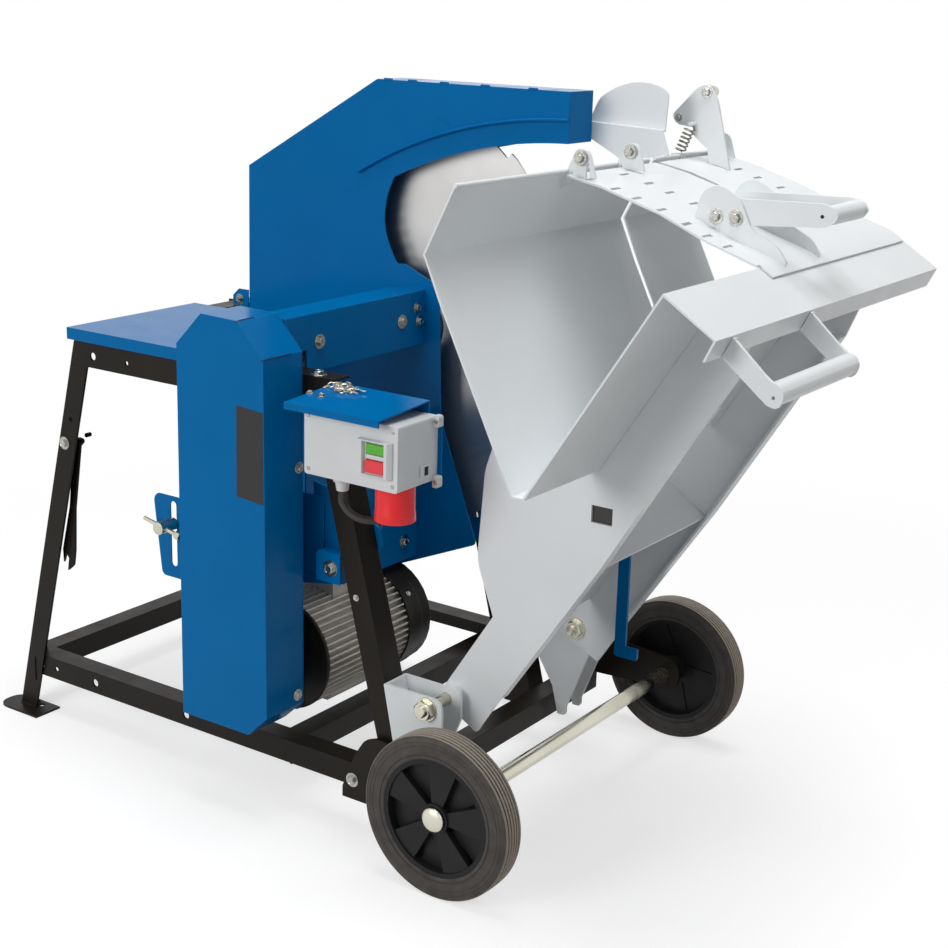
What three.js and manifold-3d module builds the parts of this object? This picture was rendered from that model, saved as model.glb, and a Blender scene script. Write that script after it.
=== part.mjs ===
// Rocking firewood saw: a splayed angle-iron stand on two wheels carries a belt-driven circular blade in a
// sheet hood, and a V-shaped log trough that rocks on two pivot brackets to bring the wood to the blade.
// Millimetres, +Z up, +X from the side table to the operator, +Y away from the belt side.
import * as THREE from 'three';
import { mergeVertices } from 'three/addons/utils/BufferGeometryUtils.js';
import Module from 'manifold-3d';

const wasm = await Module();
wasm.setup();

// Clearances
const gap = 0.3;
const overrun = 6;

// Wheels and axle; the axle stands over x = 0
const wheelRadius = 130;
const wheelWidth = 42;
const rimRadius = 95;
const rimWall = 9;
const rimWebWidth = 9;
const hubRadius = 24;
const hubProud = 2;
const treadDepth = 3;
const treadGrooves = 3;
const treadWidth = 28;
const tyreShoulder = 8;
const spokeCount = 5;
const wheelSides = 32;
const spokeOpeningWidth = 44;
const spokeOpeningInset = 3;
const axleRadius = 12.5;
const collarRadius = 17;
const collarWidth = 3;
const capDepth = 7.5;
const capSeat = 1.8;
const farWheelFace = 768;

// Angle iron of the stand
const angleSize = 40;
const angleWall = 4;
const deepAngleSize = 60;
const legDepth = 45;
const nearPlane = 100;
const farLegPlane = 549.6;
const crossBottom = 67.7;
const farRailPlane = 703;
const footPlateWall = 4;
const footPlateLength = 106;
const footPlateWidth = 57;
const footHoleRadius = 6;
const leftLegFootX = -1024;
const leftLegSlope = 0.2526;
const rightLegFootX = -139;
const rightLegSlope = -0.2616;
const farLegFootX = -223.6;
const farLegSlope = -0.2542;
const farLegWidth = 62;
const legTop = 674.4;
const farLegTop = 685.7;
const leftCrossX = -980;
const middleCrossX = -368;
const rightCrossX = -138;
const nearRailLeftX = -988;
const farTopRailPlane = 528.3;
const farTopRailLeftX = -885;
const farTopRailRightX = -332;
const topRailRightX = -276;
const farFlangeDepth = 64;
const railHoleRadius = 7;
const smallHoleRadius = 4.5;

// Table
const tableTop = 738;
const tableSheet = 3;
const tableLip = 20;
const tableLeftX = -856;
const tableLipRightX = -520;
const tableRightX = -434;
const tableFarY = 406;

// Blade, hood and arbor; the arbor runs along Y
const arborX = -400;
const arborZ = 748;
const bladeRadius = 350;
const bladeWall = 4;
const bladeY = 493;
const bladeTeeth = 42;
const toothDepth = 11;
const arborRadius = 15;
const arborStartY = 24;
const arborEndY = 516;
const clampFlangeRadius = 55;
const clampFlangeWall = 10;
const arborNutRadius = 22;
const bearingWidth = 34;
const bearingHalfHeight = 48;
const bearingSpread = 213;
const firstBearingY = 182;
const hoodSheet = 2;
const hoodNearY = 458;
const hoodFarY = 526;
const hoodLeftX = -768;
const hoodSplitZ = 766;
const hoodNoseX = -98;
const hoodTopZ = 1158;
const hoodKneeX = -477;
const hoodKneeZ = 992;
const hoodCutRadius = 828;
const hoodCutLeftX = -439;
const foldRadius = 868;
const foldDepth = 5;
const beamWidth = 60;
const beamTop = 815;
const beamWall = 4;
const beamFrontX = -370;
const beamFarY = 457;
const beamFrontBottom = 759;
const beamSkirtBottom = 722;
const beamSkirtY = 150;

// Belt cover and drive
const coverFrontY = 10;
const coverBackY = 97;
const coverSheet = 2;
const backPlateWall = 2.4;
const pulleyRadius = 50;
const beltThickness = 10;
const beltWidth = 14;
const pulleyWidth = 26;
const pulleyY = 58;
const earLeftX = -660;
const earBottom = 342;
const earTop = 485;
const slotX = -615;
const slotBottom = 369;
const slotTop = 470;
const slotRadius = 6.5;
const screwZ = 438;
const screwRadius = 5;
const screwHeadRadius = 11;
const screwHeadY = 60;
const tommyRadius = 3.5;
const tommyLength = 84;
const tommyTilt = -0.2;

// Motor
const motorX = -425;
const motorZ = 235;
const motorRadius = 95;
const motorCore = 82;
const finCount = 30;
const finWall = 3;
const motorStartY = 155.2;
const motorShieldDepth = 45;
const motorEndY = 405;
const fanCoverDepth = 46;
const motorShaftRadius = 12;
const motorPlateWall = 5;
const motorPivotX = -322;
const motorPivotZ = 411;
const terminalWidth = 76;
const terminalHeight = 46;
const terminalDepth = 84;

// Switch box
const boxLeftX = -248;
const boxRightX = -76;
const boxBottom = 616;
const boxTop = 714;
const boxFrontY = 0;
const boxBackY = 96.4;
const boxWall = 4;
const boxEdge = 5;
const boxPlateWall = 3;
const boxPlateLeftX = -302;
const boxPlateRightX = -70;
const canopySheet = 2.5;
const canopyFrontY = -20;
const canopyFrontZ = 722;
const canopyBackZ = 730;
const canopyLeftX = -268;
const canopyRightX = -94;
const bezelLeftX = -142.5;
const bezelRightX = -84;
const bezelBottom = 636;
const bezelTop = 690;
const bezelProud = 3;
const buttonTravel = 4;
const buttonWidth = 34;
const startBottom = 667;
const startTop = 684;
const stopBottom = 640;
const stopTop = 660;
const inletX = -117;
const inletY = 50;
const inletRadius = 34;
const inletBottom = 550;
const inletWall = 5;
const inletFlangeRadius = 37.5;
const pinRadius = 2.6;
const glandX = -216;
const glandY = 50;
const glandRadius = 14;
const glandBottom = 584;
const cableRadius = 6;

// Rocker
const pivotX = -85;
const pivotZ = 250;
const pivotRadius = 10;
const pivotEarRadius = 28;
const pivotBossRadius = 20;
const bracketWall = 5;
const bracketTop = 285;
const bracketBottom = 74;
const bracketTailX = -124;
const bracketTailWidth = 17;
const bracketFrontX = -150;
const nearPlateY = 165;
const farPlateY = 530;
const plateWall = 4;
const edgeFlange = 22;
const troughSheet = 3;
const troughStartY = -30;
const troughEndY = 714;
const bladeSlot = 12;
const rockRange = 26;
const slotSweepSteps = 14;
const bladeRun = 8;
const webWall = 4;
const coverStartY = 230;
const coverEndY = 705;
const coverRadius = 816;
const coverWall = 3;
const hingeX = 60;
const hingeZ = 1083;
const hingePinRadius = 5;
const hingeEarRadius = 12;
const hingeEarWall = 4;
const handleRadius = 15;
const handleArmWall = 6;
const lowerArmNearY = 15;
const lowerArmFarY = 244;
const lowerHandleX = 479;
const lowerHandleZ = 846;
const upperArmNearY = 297;
const upperArmFarY = 397;
const upperHandleX = 412;
const upperHandleZ = 1030;
const wingY = 540;
const wingLowerY = 531;
const wingWall = 3;
const leverY = 600;
const leverWall = 5;
const springRadius = 8;
const springWire = 1.4;
const springTurns = 6;
const springTopX = 47;
const springTopZ = 1112;
const springFootX = 28;
const springFootZ = 1066;
const springPinRadius = 3;
const springSeatWall = 4;
const hookX = 76;
const hookPivotZ = 512;
const hookY = 397;
const hookWall = 6;
const hookWidth = 20;
const hookBottom = 280;
const barWall = 5;
const barPinX = -862;
const barPinZ = 531;
const barLength = 246;
const barLean = 0.16;

// Finishes
const paint = (color, roughness = 0.45, metalness = 0.1) =>
  new THREE.MeshStandardMaterial({ color, roughness, metalness });
const bluePaint = () => paint('#0064a5', 0.35);
const greyPaint = () => paint('#d9dde0', 0.4);
const blackPaint = () => paint('#2a211b', 0.5);
const zinc = () => paint('#c9c6b4', 0.35, 0.8);
const steel = () => paint('#c8cccf', 0.3, 0.9);
const rubber = () => paint('#3a332e', 0.85, 0);
const plastic = (color) => paint(color, 0.5, 0);

const machine = new THREE.Group();

// Solids from three.js geometry; a mirrored winding is turned so that the faces point out
function toSolid(geometry) {
  const bare = geometry.clone();
  bare.deleteAttribute('normal');
  bare.deleteAttribute('uv');
  const merged = mergeVertices(bare);
  const corners = Uint32Array.from(merged.index.array);
  const vertProperties = Float32Array.from(merged.attributes.position.array);
  const solid = new wasm.Manifold(new wasm.Mesh({ numProp: 3, vertProperties, triVerts: corners }));
  if (solid.volume() > 0) {
    return solid;
  }
  const turned = corners.map((_, i) => corners[i % 3 === 0 ? i : i % 3 === 1 ? i + 1 : i - 1]);
  return new wasm.Manifold(new wasm.Mesh({ numProp: 3, vertProperties, triVerts: turned }));
}

function toGeometry(solid) {
  const mesh = solid.getMesh();
  const geometry = new THREE.BufferGeometry();
  const places = new Float32Array(mesh.numVert * 3);
  for (let i = 0; i < mesh.numVert; i += 1) {
    for (let k = 0; k < 3; k += 1) {
      places[3 * i + k] = mesh.vertProperties[mesh.numProp * i + k];
    }
  }
  geometry.setAttribute('position', new THREE.BufferAttribute(places, 3));
  geometry.setIndex(new THREE.BufferAttribute(Uint32Array.from(mesh.triVerts), 1));
  geometry.computeVertexNormals();
  return geometry;
}

function place(name, solid, material) {
  const mesh = new THREE.Mesh(toGeometry(solid), material);
  mesh.name = name;
  machine.add(mesh);
  return mesh;
}

const join = (...solids) => solids.reduce((sum, solid) => sum.add(solid));

function cut(solid, ...tools) {
  return tools.reduce((rest, tool) => rest.subtract(tool), solid);
}

// A closed outline; a point's third number rounds that corner
function outline(points) {
  const shape = new THREE.Shape();
  points.forEach(([x, y, round = 0], i) => {
    const [px, py] = points[(i + points.length - 1) % points.length];
    const [nx, ny] = points[(i + 1) % points.length];
    const here = new THREE.Vector2(x, y);
    const towardLast = new THREE.Vector2(px, py).sub(here);
    const towardNext = new THREE.Vector2(nx, ny).sub(here);
    const reach = Math.min(round, towardLast.length() / 2, towardNext.length() / 2);
    const start = here.clone().add(towardLast.setLength(reach));
    const end = here.clone().add(towardNext.setLength(reach));
    if (i === 0) {
      shape.moveTo(start.x, start.y);
    } else {
      shape.lineTo(start.x, start.y);
    }
    if (round > 0) {
      shape.quadraticCurveTo(x, y, end.x, end.y);
    }
  });
  shape.closePath();
  return shape;
}

function extrude(points, depth, curveSegments = 4) {
  const shape = points instanceof THREE.Shape ? points : outline(points);
  return new THREE.ExtrudeGeometry(shape, { depth, bevelEnabled: false, curveSegments });
}

// An outline in X and Z between two values of Y
function slabY(points, y0, y1, curveSegments) {
  const geometry = extrude(points, y1 - y0, curveSegments);
  return toSolid(geometry.rotateX(Math.PI / 2).translate(0, y1, 0));
}

// An outline in X and Y between two heights
function slabZ(points, z0, z1, curveSegments) {
  return toSolid(extrude(points, z1 - z0, curveSegments).translate(0, 0, z0));
}

// An outline in Y and Z between two values of X
function slabX(points, x0, x1, curveSegments) {
  const turn = new THREE.Matrix4().set(0, 0, 1, x0, 1, 0, 0, 0, 0, 1, 0, 0, 0, 0, 0, 1);
  return toSolid(extrude(points, x1 - x0, curveSegments).applyMatrix4(turn));
}

function box(x0, x1, y0, y1, z0, z1) {
  const geometry = new THREE.BoxGeometry(x1 - x0, y1 - y0, z1 - z0);
  return toSolid(geometry.translate((x0 + x1) / 2, (y0 + y1) / 2, (z0 + z1) / 2));
}

function rodY(x, z, radius, y0, y1, sides = 20) {
  const geometry = new THREE.CylinderGeometry(radius, radius, y1 - y0, sides);
  return toSolid(geometry.translate(x, (y0 + y1) / 2, z));
}

function rodZ(x, y, radius, z0, z1, sides = 20) {
  const geometry = new THREE.CylinderGeometry(radius, radius, z1 - z0, sides);
  return toSolid(geometry.rotateX(Math.PI / 2).translate(x, y, (z0 + z1) / 2));
}

// A profile of radius and Y turned about an axis along Y
function turnedY(profile, x, z, sides = 24) {
  const points = profile.map(([radius, y]) => new THREE.Vector2(radius, y));
  return toSolid(new THREE.LatheGeometry(points, sides).translate(x, 0, z));
}

// A profile of radius and Z turned about an upright axis
function turnedZ(profile, x, y, sides = 20) {
  const points = profile.map(([radius, z]) => new THREE.Vector2(radius, z));
  return toSolid(new THREE.LatheGeometry(points, sides).rotateX(Math.PI / 2).translate(x, y, 0));
}

// The line moved sideways to its right by a distance, with mitred corners
function besides(line, distance) {
  const sides = line.slice(1).map(([x, y], i) => {
    const along = new THREE.Vector2(x - line[i][0], y - line[i][1]).normalize();
    return new THREE.Vector2(along.y, -along.x);
  });
  return line.map(([x, y], i) => {
    const before = sides[Math.max(i - 1, 0)];
    const after = sides[Math.min(i, sides.length - 1)];
    const mitre = before.clone().add(after);
    mitre.multiplyScalar(distance / (1 + before.dot(after)));
    return [x + mitre.x, y + mitre.y];
  });
}

// The closed outline of a sheet folded along a line, its thickness on the right of it
const folded = (line, thickness) => [...line, ...besides(line, thickness).reverse()];

// A point between two others
const between = ([x0, y0], [x1, y1], share) => [x0 + (x1 - x0) * share, y0 + (y1 - y0) * share];

function arcPoints(x, z, radius, from, to, steps) {
  return Array.from({ length: steps + 1 }, (_, i) => {
    const angle = from + (to - from) * (i / steps);
    return [x + radius * Math.cos(angle), z + radius * Math.sin(angle)];
  });
}

// Wheels
const treadPitch = treadWidth / treadGrooves;
const tyreBead = 3;
function tyreProfile(y0) {
  const inner = rimRadius + gap;
  const middle = y0 + wheelWidth / 2;
  const profile = [[inner, y0 + tyreBead], [inner, y0 + wheelWidth - tyreBead]];
  profile.push([inner + tyreShoulder, y0 + wheelWidth], [wheelRadius - tyreShoulder, y0 + wheelWidth]);
  profile.push([wheelRadius, middle + treadWidth / 2]);
  for (let i = 0; i < treadGrooves; i += 1) {
    const groove = middle + treadWidth / 2 - treadPitch * (i + 1 / 2);
    profile.push([wheelRadius, groove + treadDepth / 2], [wheelRadius - treadDepth, groove]);
    profile.push([wheelRadius, groove - treadDepth / 2]);
  }
  profile.push([wheelRadius, middle - treadWidth / 2]);
  profile.push([wheelRadius - tyreShoulder, y0], [inner + tyreShoulder, y0], profile[0]);
  return profile;
}

function rim(y0, hubY0, hubY1) {
  const bore = axleRadius + gap;
  const shell = rimRadius - rimWall;
  const bead = tyreBead / 2;
  const web = y0 + wheelWidth / 2;
  const profile = [
    [bore, hubY0], [hubRadius, hubY0], [hubRadius, web - rimWebWidth / 2], [shell, web - rimWebWidth / 2],
    [shell, y0 + bead], [rimRadius, y0 + bead], [rimRadius, y0 + wheelWidth - bead],
    [shell, y0 + wheelWidth - bead], [shell, web + rimWebWidth / 2], [hubRadius, web + rimWebWidth / 2],
    [hubRadius, hubY1], [bore, hubY1], [bore, hubY0],
  ];
  const openings = Array.from({ length: spokeCount }, (_, i) => {
    const turn = (2 * Math.PI * i) / spokeCount + Math.PI / 2;
    const inner = hubRadius + spokeOpeningInset;
    const outer = shell - spokeOpeningInset;
    const corners = [[inner, 0], [outer, -spokeOpeningWidth / 2], [outer, spokeOpeningWidth / 2]];
    const turned = corners.map(([along, side]) => [
      along * Math.cos(turn) - side * Math.sin(turn),
      wheelRadius + along * Math.sin(turn) + side * Math.cos(turn),
      tyreShoulder / 2,
    ]);
    return slabY(turned, y0, y0 + wheelWidth, 3);
  });
  return cut(turnedY(profile, 0, wheelRadius, wheelSides), ...openings);
}

const nearHub = [hubProud / 2, wheelWidth + hubProud];
const farHub = [farWheelFace - wheelWidth - hubProud, farWheelFace - hubProud / 2];
place('near_tyre', turnedY(tyreProfile(0), 0, wheelRadius, wheelSides), rubber());
place('far_tyre', turnedY(tyreProfile(farWheelFace - wheelWidth), 0, wheelRadius, wheelSides), rubber());
place('near_wheel_rim', rim(0, ...nearHub), plastic('#2d2d30'));
place('far_wheel_rim', rim(farWheelFace - wheelWidth, ...farHub), plastic('#2d2d30'));

const axleEnds = [nearHub[0], farHub[1]];
const capRadius = axleRadius + 2 * hubProud;
function hubCap(face, outward) {
  const rise = [[0, -0.2], [1, -0.2], [1, 0.25], [0.8, 0.7], [0.4, 0.95], [0, 1]];
  const profile = rise.map(([radiusShare, share]) => [capRadius * radiusShare, face + outward * capDepth * share]);
  return turnedY(profile, 0, wheelRadius, 20);
}
place('wheel_axle', join(
  rodY(0, wheelRadius, axleRadius, axleEnds[0] - capSeat, axleEnds[1] + capSeat),
  hubCap(axleEnds[0] - capSeat, -1),
  hubCap(axleEnds[1] + capSeat, 1),
  rodY(0, wheelRadius, collarRadius, nearHub[1] + gap, nearHub[1] + gap + collarWidth),
  rodY(0, wheelRadius, collarRadius, farHub[0] - gap - collarWidth, farHub[0] - gap),
), zinc());

// Stand: legs lean in X, so their left edge is a line x(z)
const leftLegX = (z) => leftLegFootX + leftLegSlope * z;
const rightLegX = (z) => rightLegFootX + rightLegSlope * z;
const farLegX = (z) => farLegFootX + farLegSlope * z;
const crossTop = crossBottom + angleSize;
const nearRailY = nearPlane + angleWall + gap;
const nearRailBottom = crossTop + gap - (angleSize - angleWall);
const nearRailTop = nearRailBottom + angleSize;
const farRailBottom = crossTop + gap;
const farRailTop = farRailBottom + angleSize;
const crossStartY = nearRailY + angleWall + gap;

// A leaning leg: its face towards -Y, and a flange going +Y at one edge of the face
function leg(edge, width, depth, y, z0, z1, flangeAtRight) {
  const strip = (from, to) => [
    [edge(z0) + from, z0], [edge(z0) + to, z0], [edge(z1) + to, z1], [edge(z1) + from, z1],
  ];
  const flange = flangeAtRight ? strip(width - angleWall, width) : strip(0, angleWall);
  return join(slabY(strip(0, width), y, y + angleWall), slabY(flange, y, y + depth));
}

const bore = (x, z, radius, y) => rodY(x, z, radius, y - overrun, y + angleWall + overrun, 12);
const railHoles = [0.26, 0.62].map((share) => nearRailLeftX * (1 - share) + middleCrossX * share);
place('near_right_leg', leg(rightLegX, angleSize, legDepth, nearPlane, crossBottom, legTop, true), blackPaint());
place('far_left_leg', leg(leftLegX, angleSize, angleSize, farLegPlane, crossTop + gap, farLegTop, false),
  blackPaint());
place('far_right_leg', leg(farLegX, farLegWidth, legDepth, farLegPlane, crossBottom, farLegTop, true),
  blackPaint());

const nearRail = join(
  box(nearRailLeftX, rightCrossX, nearRailY, nearRailY + angleWall, nearRailBottom, nearRailTop),
  box(nearRailLeftX, rightCrossX, nearRailY, nearRailY + angleSize, nearRailTop - angleWall, nearRailTop),
);
place('near_bottom_rail', cut(nearRail,
  ...railHoles.map((x) => bore(x, nearRailBottom + angleSize / 2, railHoleRadius, nearRailY)),
  bore(nearRailLeftX + angleSize / 2, nearRailBottom + angleSize / 2, railHoleRadius, nearRailY),
  bore(nearRailLeftX + 3 * angleSize / 2, nearRailBottom + angleSize / 2, smallHoleRadius, nearRailY),
), blackPaint());
place('far_bottom_rail', join(
  box(leftCrossX - angleSize, rightCrossX, farRailPlane - angleWall, farRailPlane, farRailBottom, farRailTop),
  box(leftCrossX - angleSize, rightCrossX, farRailPlane - angleSize, farRailPlane, farRailTop - angleWall,
    farRailTop),
), blackPaint());
function crossRail(rightX, startY) {
  return join(
    box(rightX - angleWall, rightX, startY, farRailPlane, crossBottom, crossTop),
    box(rightX - angleSize, rightX, startY, farRailPlane, crossTop - angleWall, crossTop),
  );
}
place('left_cross_rail', crossRail(leftCrossX, nearPlane + angleSize + 2 * gap), blackPaint());
place('middle_cross_rail', crossRail(middleCrossX, crossStartY), blackPaint());
place('right_cross_rail', crossRail(rightCrossX, crossStartY), blackPaint());

function footPlate(y0) {
  const left = leftLegFootX - (footPlateLength - angleSize) / 2;
  const plate = slabZ([
    [left, y0, footPlateWidth / 2], [left + footPlateLength, y0],
    [left + footPlateLength, y0 + footPlateWidth],
    [left, y0 + footPlateWidth, footPlateWidth / 2],
  ], 0, footPlateWall, 6);
  const holeX = left + footPlateLength * 0.7;
  return cut(plate, rodZ(holeX, y0 + footPlateWidth * 0.74, footHoleRadius, -overrun, overrun + footPlateWall, 16));
}
const barY = nearPlane + angleWall + 2 * barWall;
place('near_left_leg', cut(join(
  leg(leftLegX, angleSize, angleSize, nearPlane, footPlateWall / 2, legTop, false),
  footPlate(nearPlane - footPlateWidth / 2),
  rodY(barPinX, barPinZ, screwRadius, nearPlane + angleWall / 2, barY + 3 * barWall, 16),
  rodY(barPinX, barPinZ, screwRadius * 1.5, barY + barWall + gap, barY + 2 * barWall, 16),
), bore(leftLegX(barPinZ + legDepth) + angleSize / 2, barPinZ + legDepth, smallHoleRadius, nearPlane)), blackPaint());
place('far_foot', join(
  box(leftCrossX - angleSize, leftCrossX, farRailPlane - angleWall, farRailPlane, footPlateWall / 2,
    crossBottom - gap),
  box(leftCrossX - angleWall, leftCrossX, farRailPlane - angleSize, farRailPlane, footPlateWall / 2,
    crossBottom - gap),
  footPlate(farRailPlane - footPlateWidth * 0.8),
), blackPaint());

// Top rails under the table and behind the hood
const topRailBottom = legTop + gap;
const topRailTop = topRailBottom + deepAngleSize;
const shaftRoom = rodY(arborX, arborZ, arborRadius + angleWall, nearPlane - overrun, beamFarY, 24);
const topRailFace = slabY([
  [leftLegX(topRailBottom), topRailBottom], [topRailRightX, topRailBottom], [topRailRightX, topRailTop],
  [leftLegX(topRailTop), topRailTop],
], nearPlane, nearPlane + angleWall);
const topRailFlange = box(leftLegX(topRailTop), topRailRightX, nearPlane, nearPlane + angleSize,
  topRailTop - angleWall, topRailTop);
const leftTopRailX = leftLegX(topRailTop) + angleWall;
const leftRailY = [nearPlane + angleWall / 2, farTopRailPlane - gap];
place('near_top_rail', cut(join(topRailFace, topRailFlange,
  box(leftTopRailX, leftTopRailX + angleWall, ...leftRailY, topRailTop - angleSize, topRailTop),
  box(leftTopRailX, leftTopRailX + angleSize, ...leftRailY, topRailTop - angleWall, topRailTop),
), shaftRoom,
  ...[1, 3].map((step) => bore(leftLegX(topRailTop) + step * angleSize, topRailBottom + angleSize / 2,
    railHoleRadius / step ** 0.5, nearPlane)),
), blackPaint());
const farTopRailBottom = farLegTop + gap;
place('far_top_rail', join(
  box(farTopRailLeftX, farTopRailRightX, farTopRailPlane, farTopRailPlane + angleWall, farTopRailBottom,
    farTopRailBottom + angleSize),
  box(farTopRailLeftX, farTopRailRightX, farTopRailPlane, farTopRailPlane + farFlangeDepth, farTopRailBottom,
    farTopRailBottom + angleWall),
), blackPaint());

// Axle brackets: a plate from the stand's corner to the axle
const axleBracketWall = 6;
const axleEarRadius = 30;
function axleBracket(y0, lift) {
  const tail = [
    [-244, 58 + lift], [-195, 58 + lift], [-axleEarRadius, wheelRadius - axleEarRadius * 0.95, axleEarRadius],
    [axleEarRadius, wheelRadius - axleEarRadius, axleEarRadius],
    [axleEarRadius, wheelRadius + axleEarRadius, axleEarRadius],
    [-176, 176, 8], [-200, 167, 8], [-220, 136 + lift / 2], [-244, 76 + lift],
  ];
  const plate = slabY(tail, y0, y0 + axleBracketWall, 6);
  return cut(plate, rodY(0, wheelRadius, axleRadius + gap, y0 - overrun, y0 + axleBracketWall + overrun, 24));
}
place('near_axle_bracket', axleBracket(nearPlane - 2 * gap - bracketWall - axleBracketWall, 0), blackPaint());
place('far_axle_bracket', axleBracket(farRailPlane + gap, farRailBottom - nearRailBottom), blackPaint());

// Bar hanging on the left leg: a flat bar with an open jaw, on a pin through the leg
const barHalf = 9;
const jaw = 8;
function turnedAbout(points, x, z, angle) {
  return points.map(([a, b, round]) => [
    x + a * Math.cos(angle) + b * Math.sin(angle), z - a * Math.sin(angle) + b * Math.cos(angle), round,
  ]);
}
const barOutline = [
  [-barHalf, barHalf, barHalf], [barHalf, barHalf, barHalf], [barHalf, -barLength / 2],
  [barHalf + jaw, -barLength * 0.82],
  [barHalf + jaw, -barLength * 0.94, jaw / 2], [jaw / 2, -barLength, jaw / 4], [jaw / 2, -barLength * 0.9],
  [-jaw / 2, -barLength * 0.87], [-jaw, -barLength * 0.95], [-barHalf - jaw / 2, -barLength * 0.85],
  [-barHalf / 2, -barLength / 2],
];
place('hanging_bar', cut(
  slabY(turnedAbout(barOutline, barPinX, barPinZ, barLean), barY, barY + barWall),
  rodY(barPinX, barPinZ, screwRadius + gap, barY - overrun, barY + barWall + overrun, 16),
), blackPaint());

// Table: a tray of folded sheet, open to the arbor side
const tableNearY = nearPlane - gap - tableSheet;
const railNotch = box(leftTopRailX - 2 * gap, leftTopRailX + angleSize + 2 * gap, tableFarY - overrun,
  tableFarY + overrun, tableTop - 2 * tableLip, topRailTop + gap);
place('table_top', cut(join(
  box(tableLeftX, tableLipRightX, tableNearY, tableFarY, tableTop - tableSheet, tableTop),
  box(tableLipRightX - overrun, tableRightX, nearPlane, tableFarY, tableTop - tableSheet, tableTop),
  box(tableLeftX, tableLipRightX, tableNearY, tableNearY + tableSheet, tableTop - tableLip, tableTop),
  box(tableLeftX, tableRightX, tableFarY - tableSheet, tableFarY, tableTop - tableLip, tableTop),
  box(tableLeftX, tableLeftX + tableSheet, tableNearY, tableFarY, tableTop - tableLip, tableTop),
), railNotch), bluePaint());

// Arbor beam: an inverted channel over the two bearing blocks
const beamBackX = beamFrontX - beamWidth;
const beamNearY = nearPlane + gap;
place('arbor_beam', join(
  box(beamBackX, beamFrontX, beamNearY, beamFarY, beamTop - beamWall, beamTop),
  box(beamFrontX - beamWall, beamFrontX, beamNearY, beamFarY, beamFrontBottom, beamTop),
  box(beamFrontX - beamWall, beamFrontX, beamSkirtY, beamFarY, beamSkirtBottom, beamTop),
  box(beamBackX, beamBackX + beamWall, beamNearY, beamFarY, topRailTop + gap, beamTop),
), bluePaint());
function bearing(y) {
  const top = Math.min(arborZ + bearingHalfHeight, beamTop - beamWall - gap);
  const block = box(beamBackX + beamWall + gap, beamFrontX - beamWall - gap, y - bearingWidth / 2,
    y + bearingWidth / 2, arborZ - bearingHalfHeight / 2, top);
  const boss = rodY(arborX, arborZ, bearingHalfHeight / 2, y - bearingWidth / 2, y + bearingWidth / 2 + beamWall);
  return cut(join(block, boss), rodY(arborX, arborZ, arborRadius + gap, y - bearingWidth, y + bearingWidth));
}
place('near_bearing', bearing(firstBearingY), steel());
place('far_bearing', bearing(firstBearingY + bearingSpread), steel());

// Arbor shaft with its inner clamping flange, then the blade, outer flange and nut
const bladeNear = bladeY - bladeWall / 2;
const bladeFar = bladeY + bladeWall / 2;
place('arbor_shaft', join(
  rodY(arborX, arborZ, arborRadius, arborStartY, arborEndY),
  rodY(arborX, arborZ, clampFlangeRadius, bladeNear - gap - clampFlangeWall, bladeNear - gap, 32),
), steel());
place('blade_flange', cut(join(
  rodY(arborX, arborZ, clampFlangeRadius, bladeFar + gap, bladeFar + gap + clampFlangeWall, 32),
  rodY(arborX, arborZ, arborNutRadius, bladeFar + gap, arborEndY - gap, 6),
), rodY(arborX, arborZ, arborRadius + gap, bladeNear, arborEndY + overrun)), steel());
const bladeShape = new THREE.Shape();
const toothTurn = (2 * Math.PI) / bladeTeeth;
// radius share of the tooth depth, and turn share of the tooth pitch
const toothShares = [[0, 0], [0.75, 0.02], [1, 0.12], [0.8, 0.26], [0.15, 0.75]];
for (let i = 0; i < bladeTeeth; i += 1) {
  toothShares.forEach(([deep, along], k) => {
    const angle = toothTurn * (i + along);
    const radius = bladeRadius - toothDepth * deep;
    const x = arborX + radius * Math.cos(angle);
    const z = arborZ + radius * Math.sin(angle);
    if (i === 0 && k === 0) {
      bladeShape.moveTo(x, z);
    } else {
      bladeShape.lineTo(x, z);
    }
  });
}
bladeShape.closePath();
place('saw_blade', cut(slabY(bladeShape, bladeNear, bladeFar),
  rodY(arborX, arborZ, arborRadius + gap, bladeNear - overrun, bladeFar + overrun)), steel());

// Hood: two outer plates with the trough's cut-out, and a rim strip between them
const cutStart = Math.atan2(Math.sqrt(hoodCutRadius ** 2 - (hoodNoseX - pivotX) ** 2), hoodNoseX - pivotX);
const cutEnd = Math.acos((hoodCutLeftX - pivotX) / hoodCutRadius);
const hoodOutline = [
  [hoodLeftX, hoodSplitZ], [hoodLeftX + hoodSheet, hoodKneeZ], [hoodKneeX, hoodTopZ, 6], [hoodNoseX, hoodTopZ],
  ...arcPoints(pivotX, pivotZ, hoodCutRadius, cutStart, cutEnd, 12),
  [-457, 941], [-457, 916], [-443, 883], [-432, 855, 8], [-413, 854, 8], [-347, 826], [-339, 792, 6],
  [-331, 594], [-250, 385, 10], [-450, 299, 40], [-600, 330, 60], [-730, 480, 80], [hoodLeftX, 620, 40],
];
const rimLine = [
  [hoodLeftX, hoodSplitZ], [hoodLeftX + hoodSheet, hoodKneeZ], [hoodKneeX, hoodTopZ], [hoodNoseX, hoodTopZ],
  [hoodNoseX, pivotZ + hoodCutRadius],
];
place('hood_far_plate', join(
  slabY(hoodOutline, hoodFarY, hoodFarY + hoodSheet),
  slabY(folded(rimLine, hoodSheet), hoodNearY + hoodSheet + gap, hoodFarY + hoodSheet / 2),
), bluePaint());
const foldStart = Math.acos((hoodNoseX - pivotX) / foldRadius);
const foldEnd = Math.acos((-514 - pivotX) / foldRadius);
const arcRib = slabY([
  ...arcPoints(pivotX, pivotZ, foldRadius, foldStart, foldEnd, 12),
  ...arcPoints(pivotX, pivotZ, foldRadius - foldDepth, foldEnd, foldStart, 12),
], hoodNearY - foldDepth, hoodNearY + hoodSheet / 2);
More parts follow.
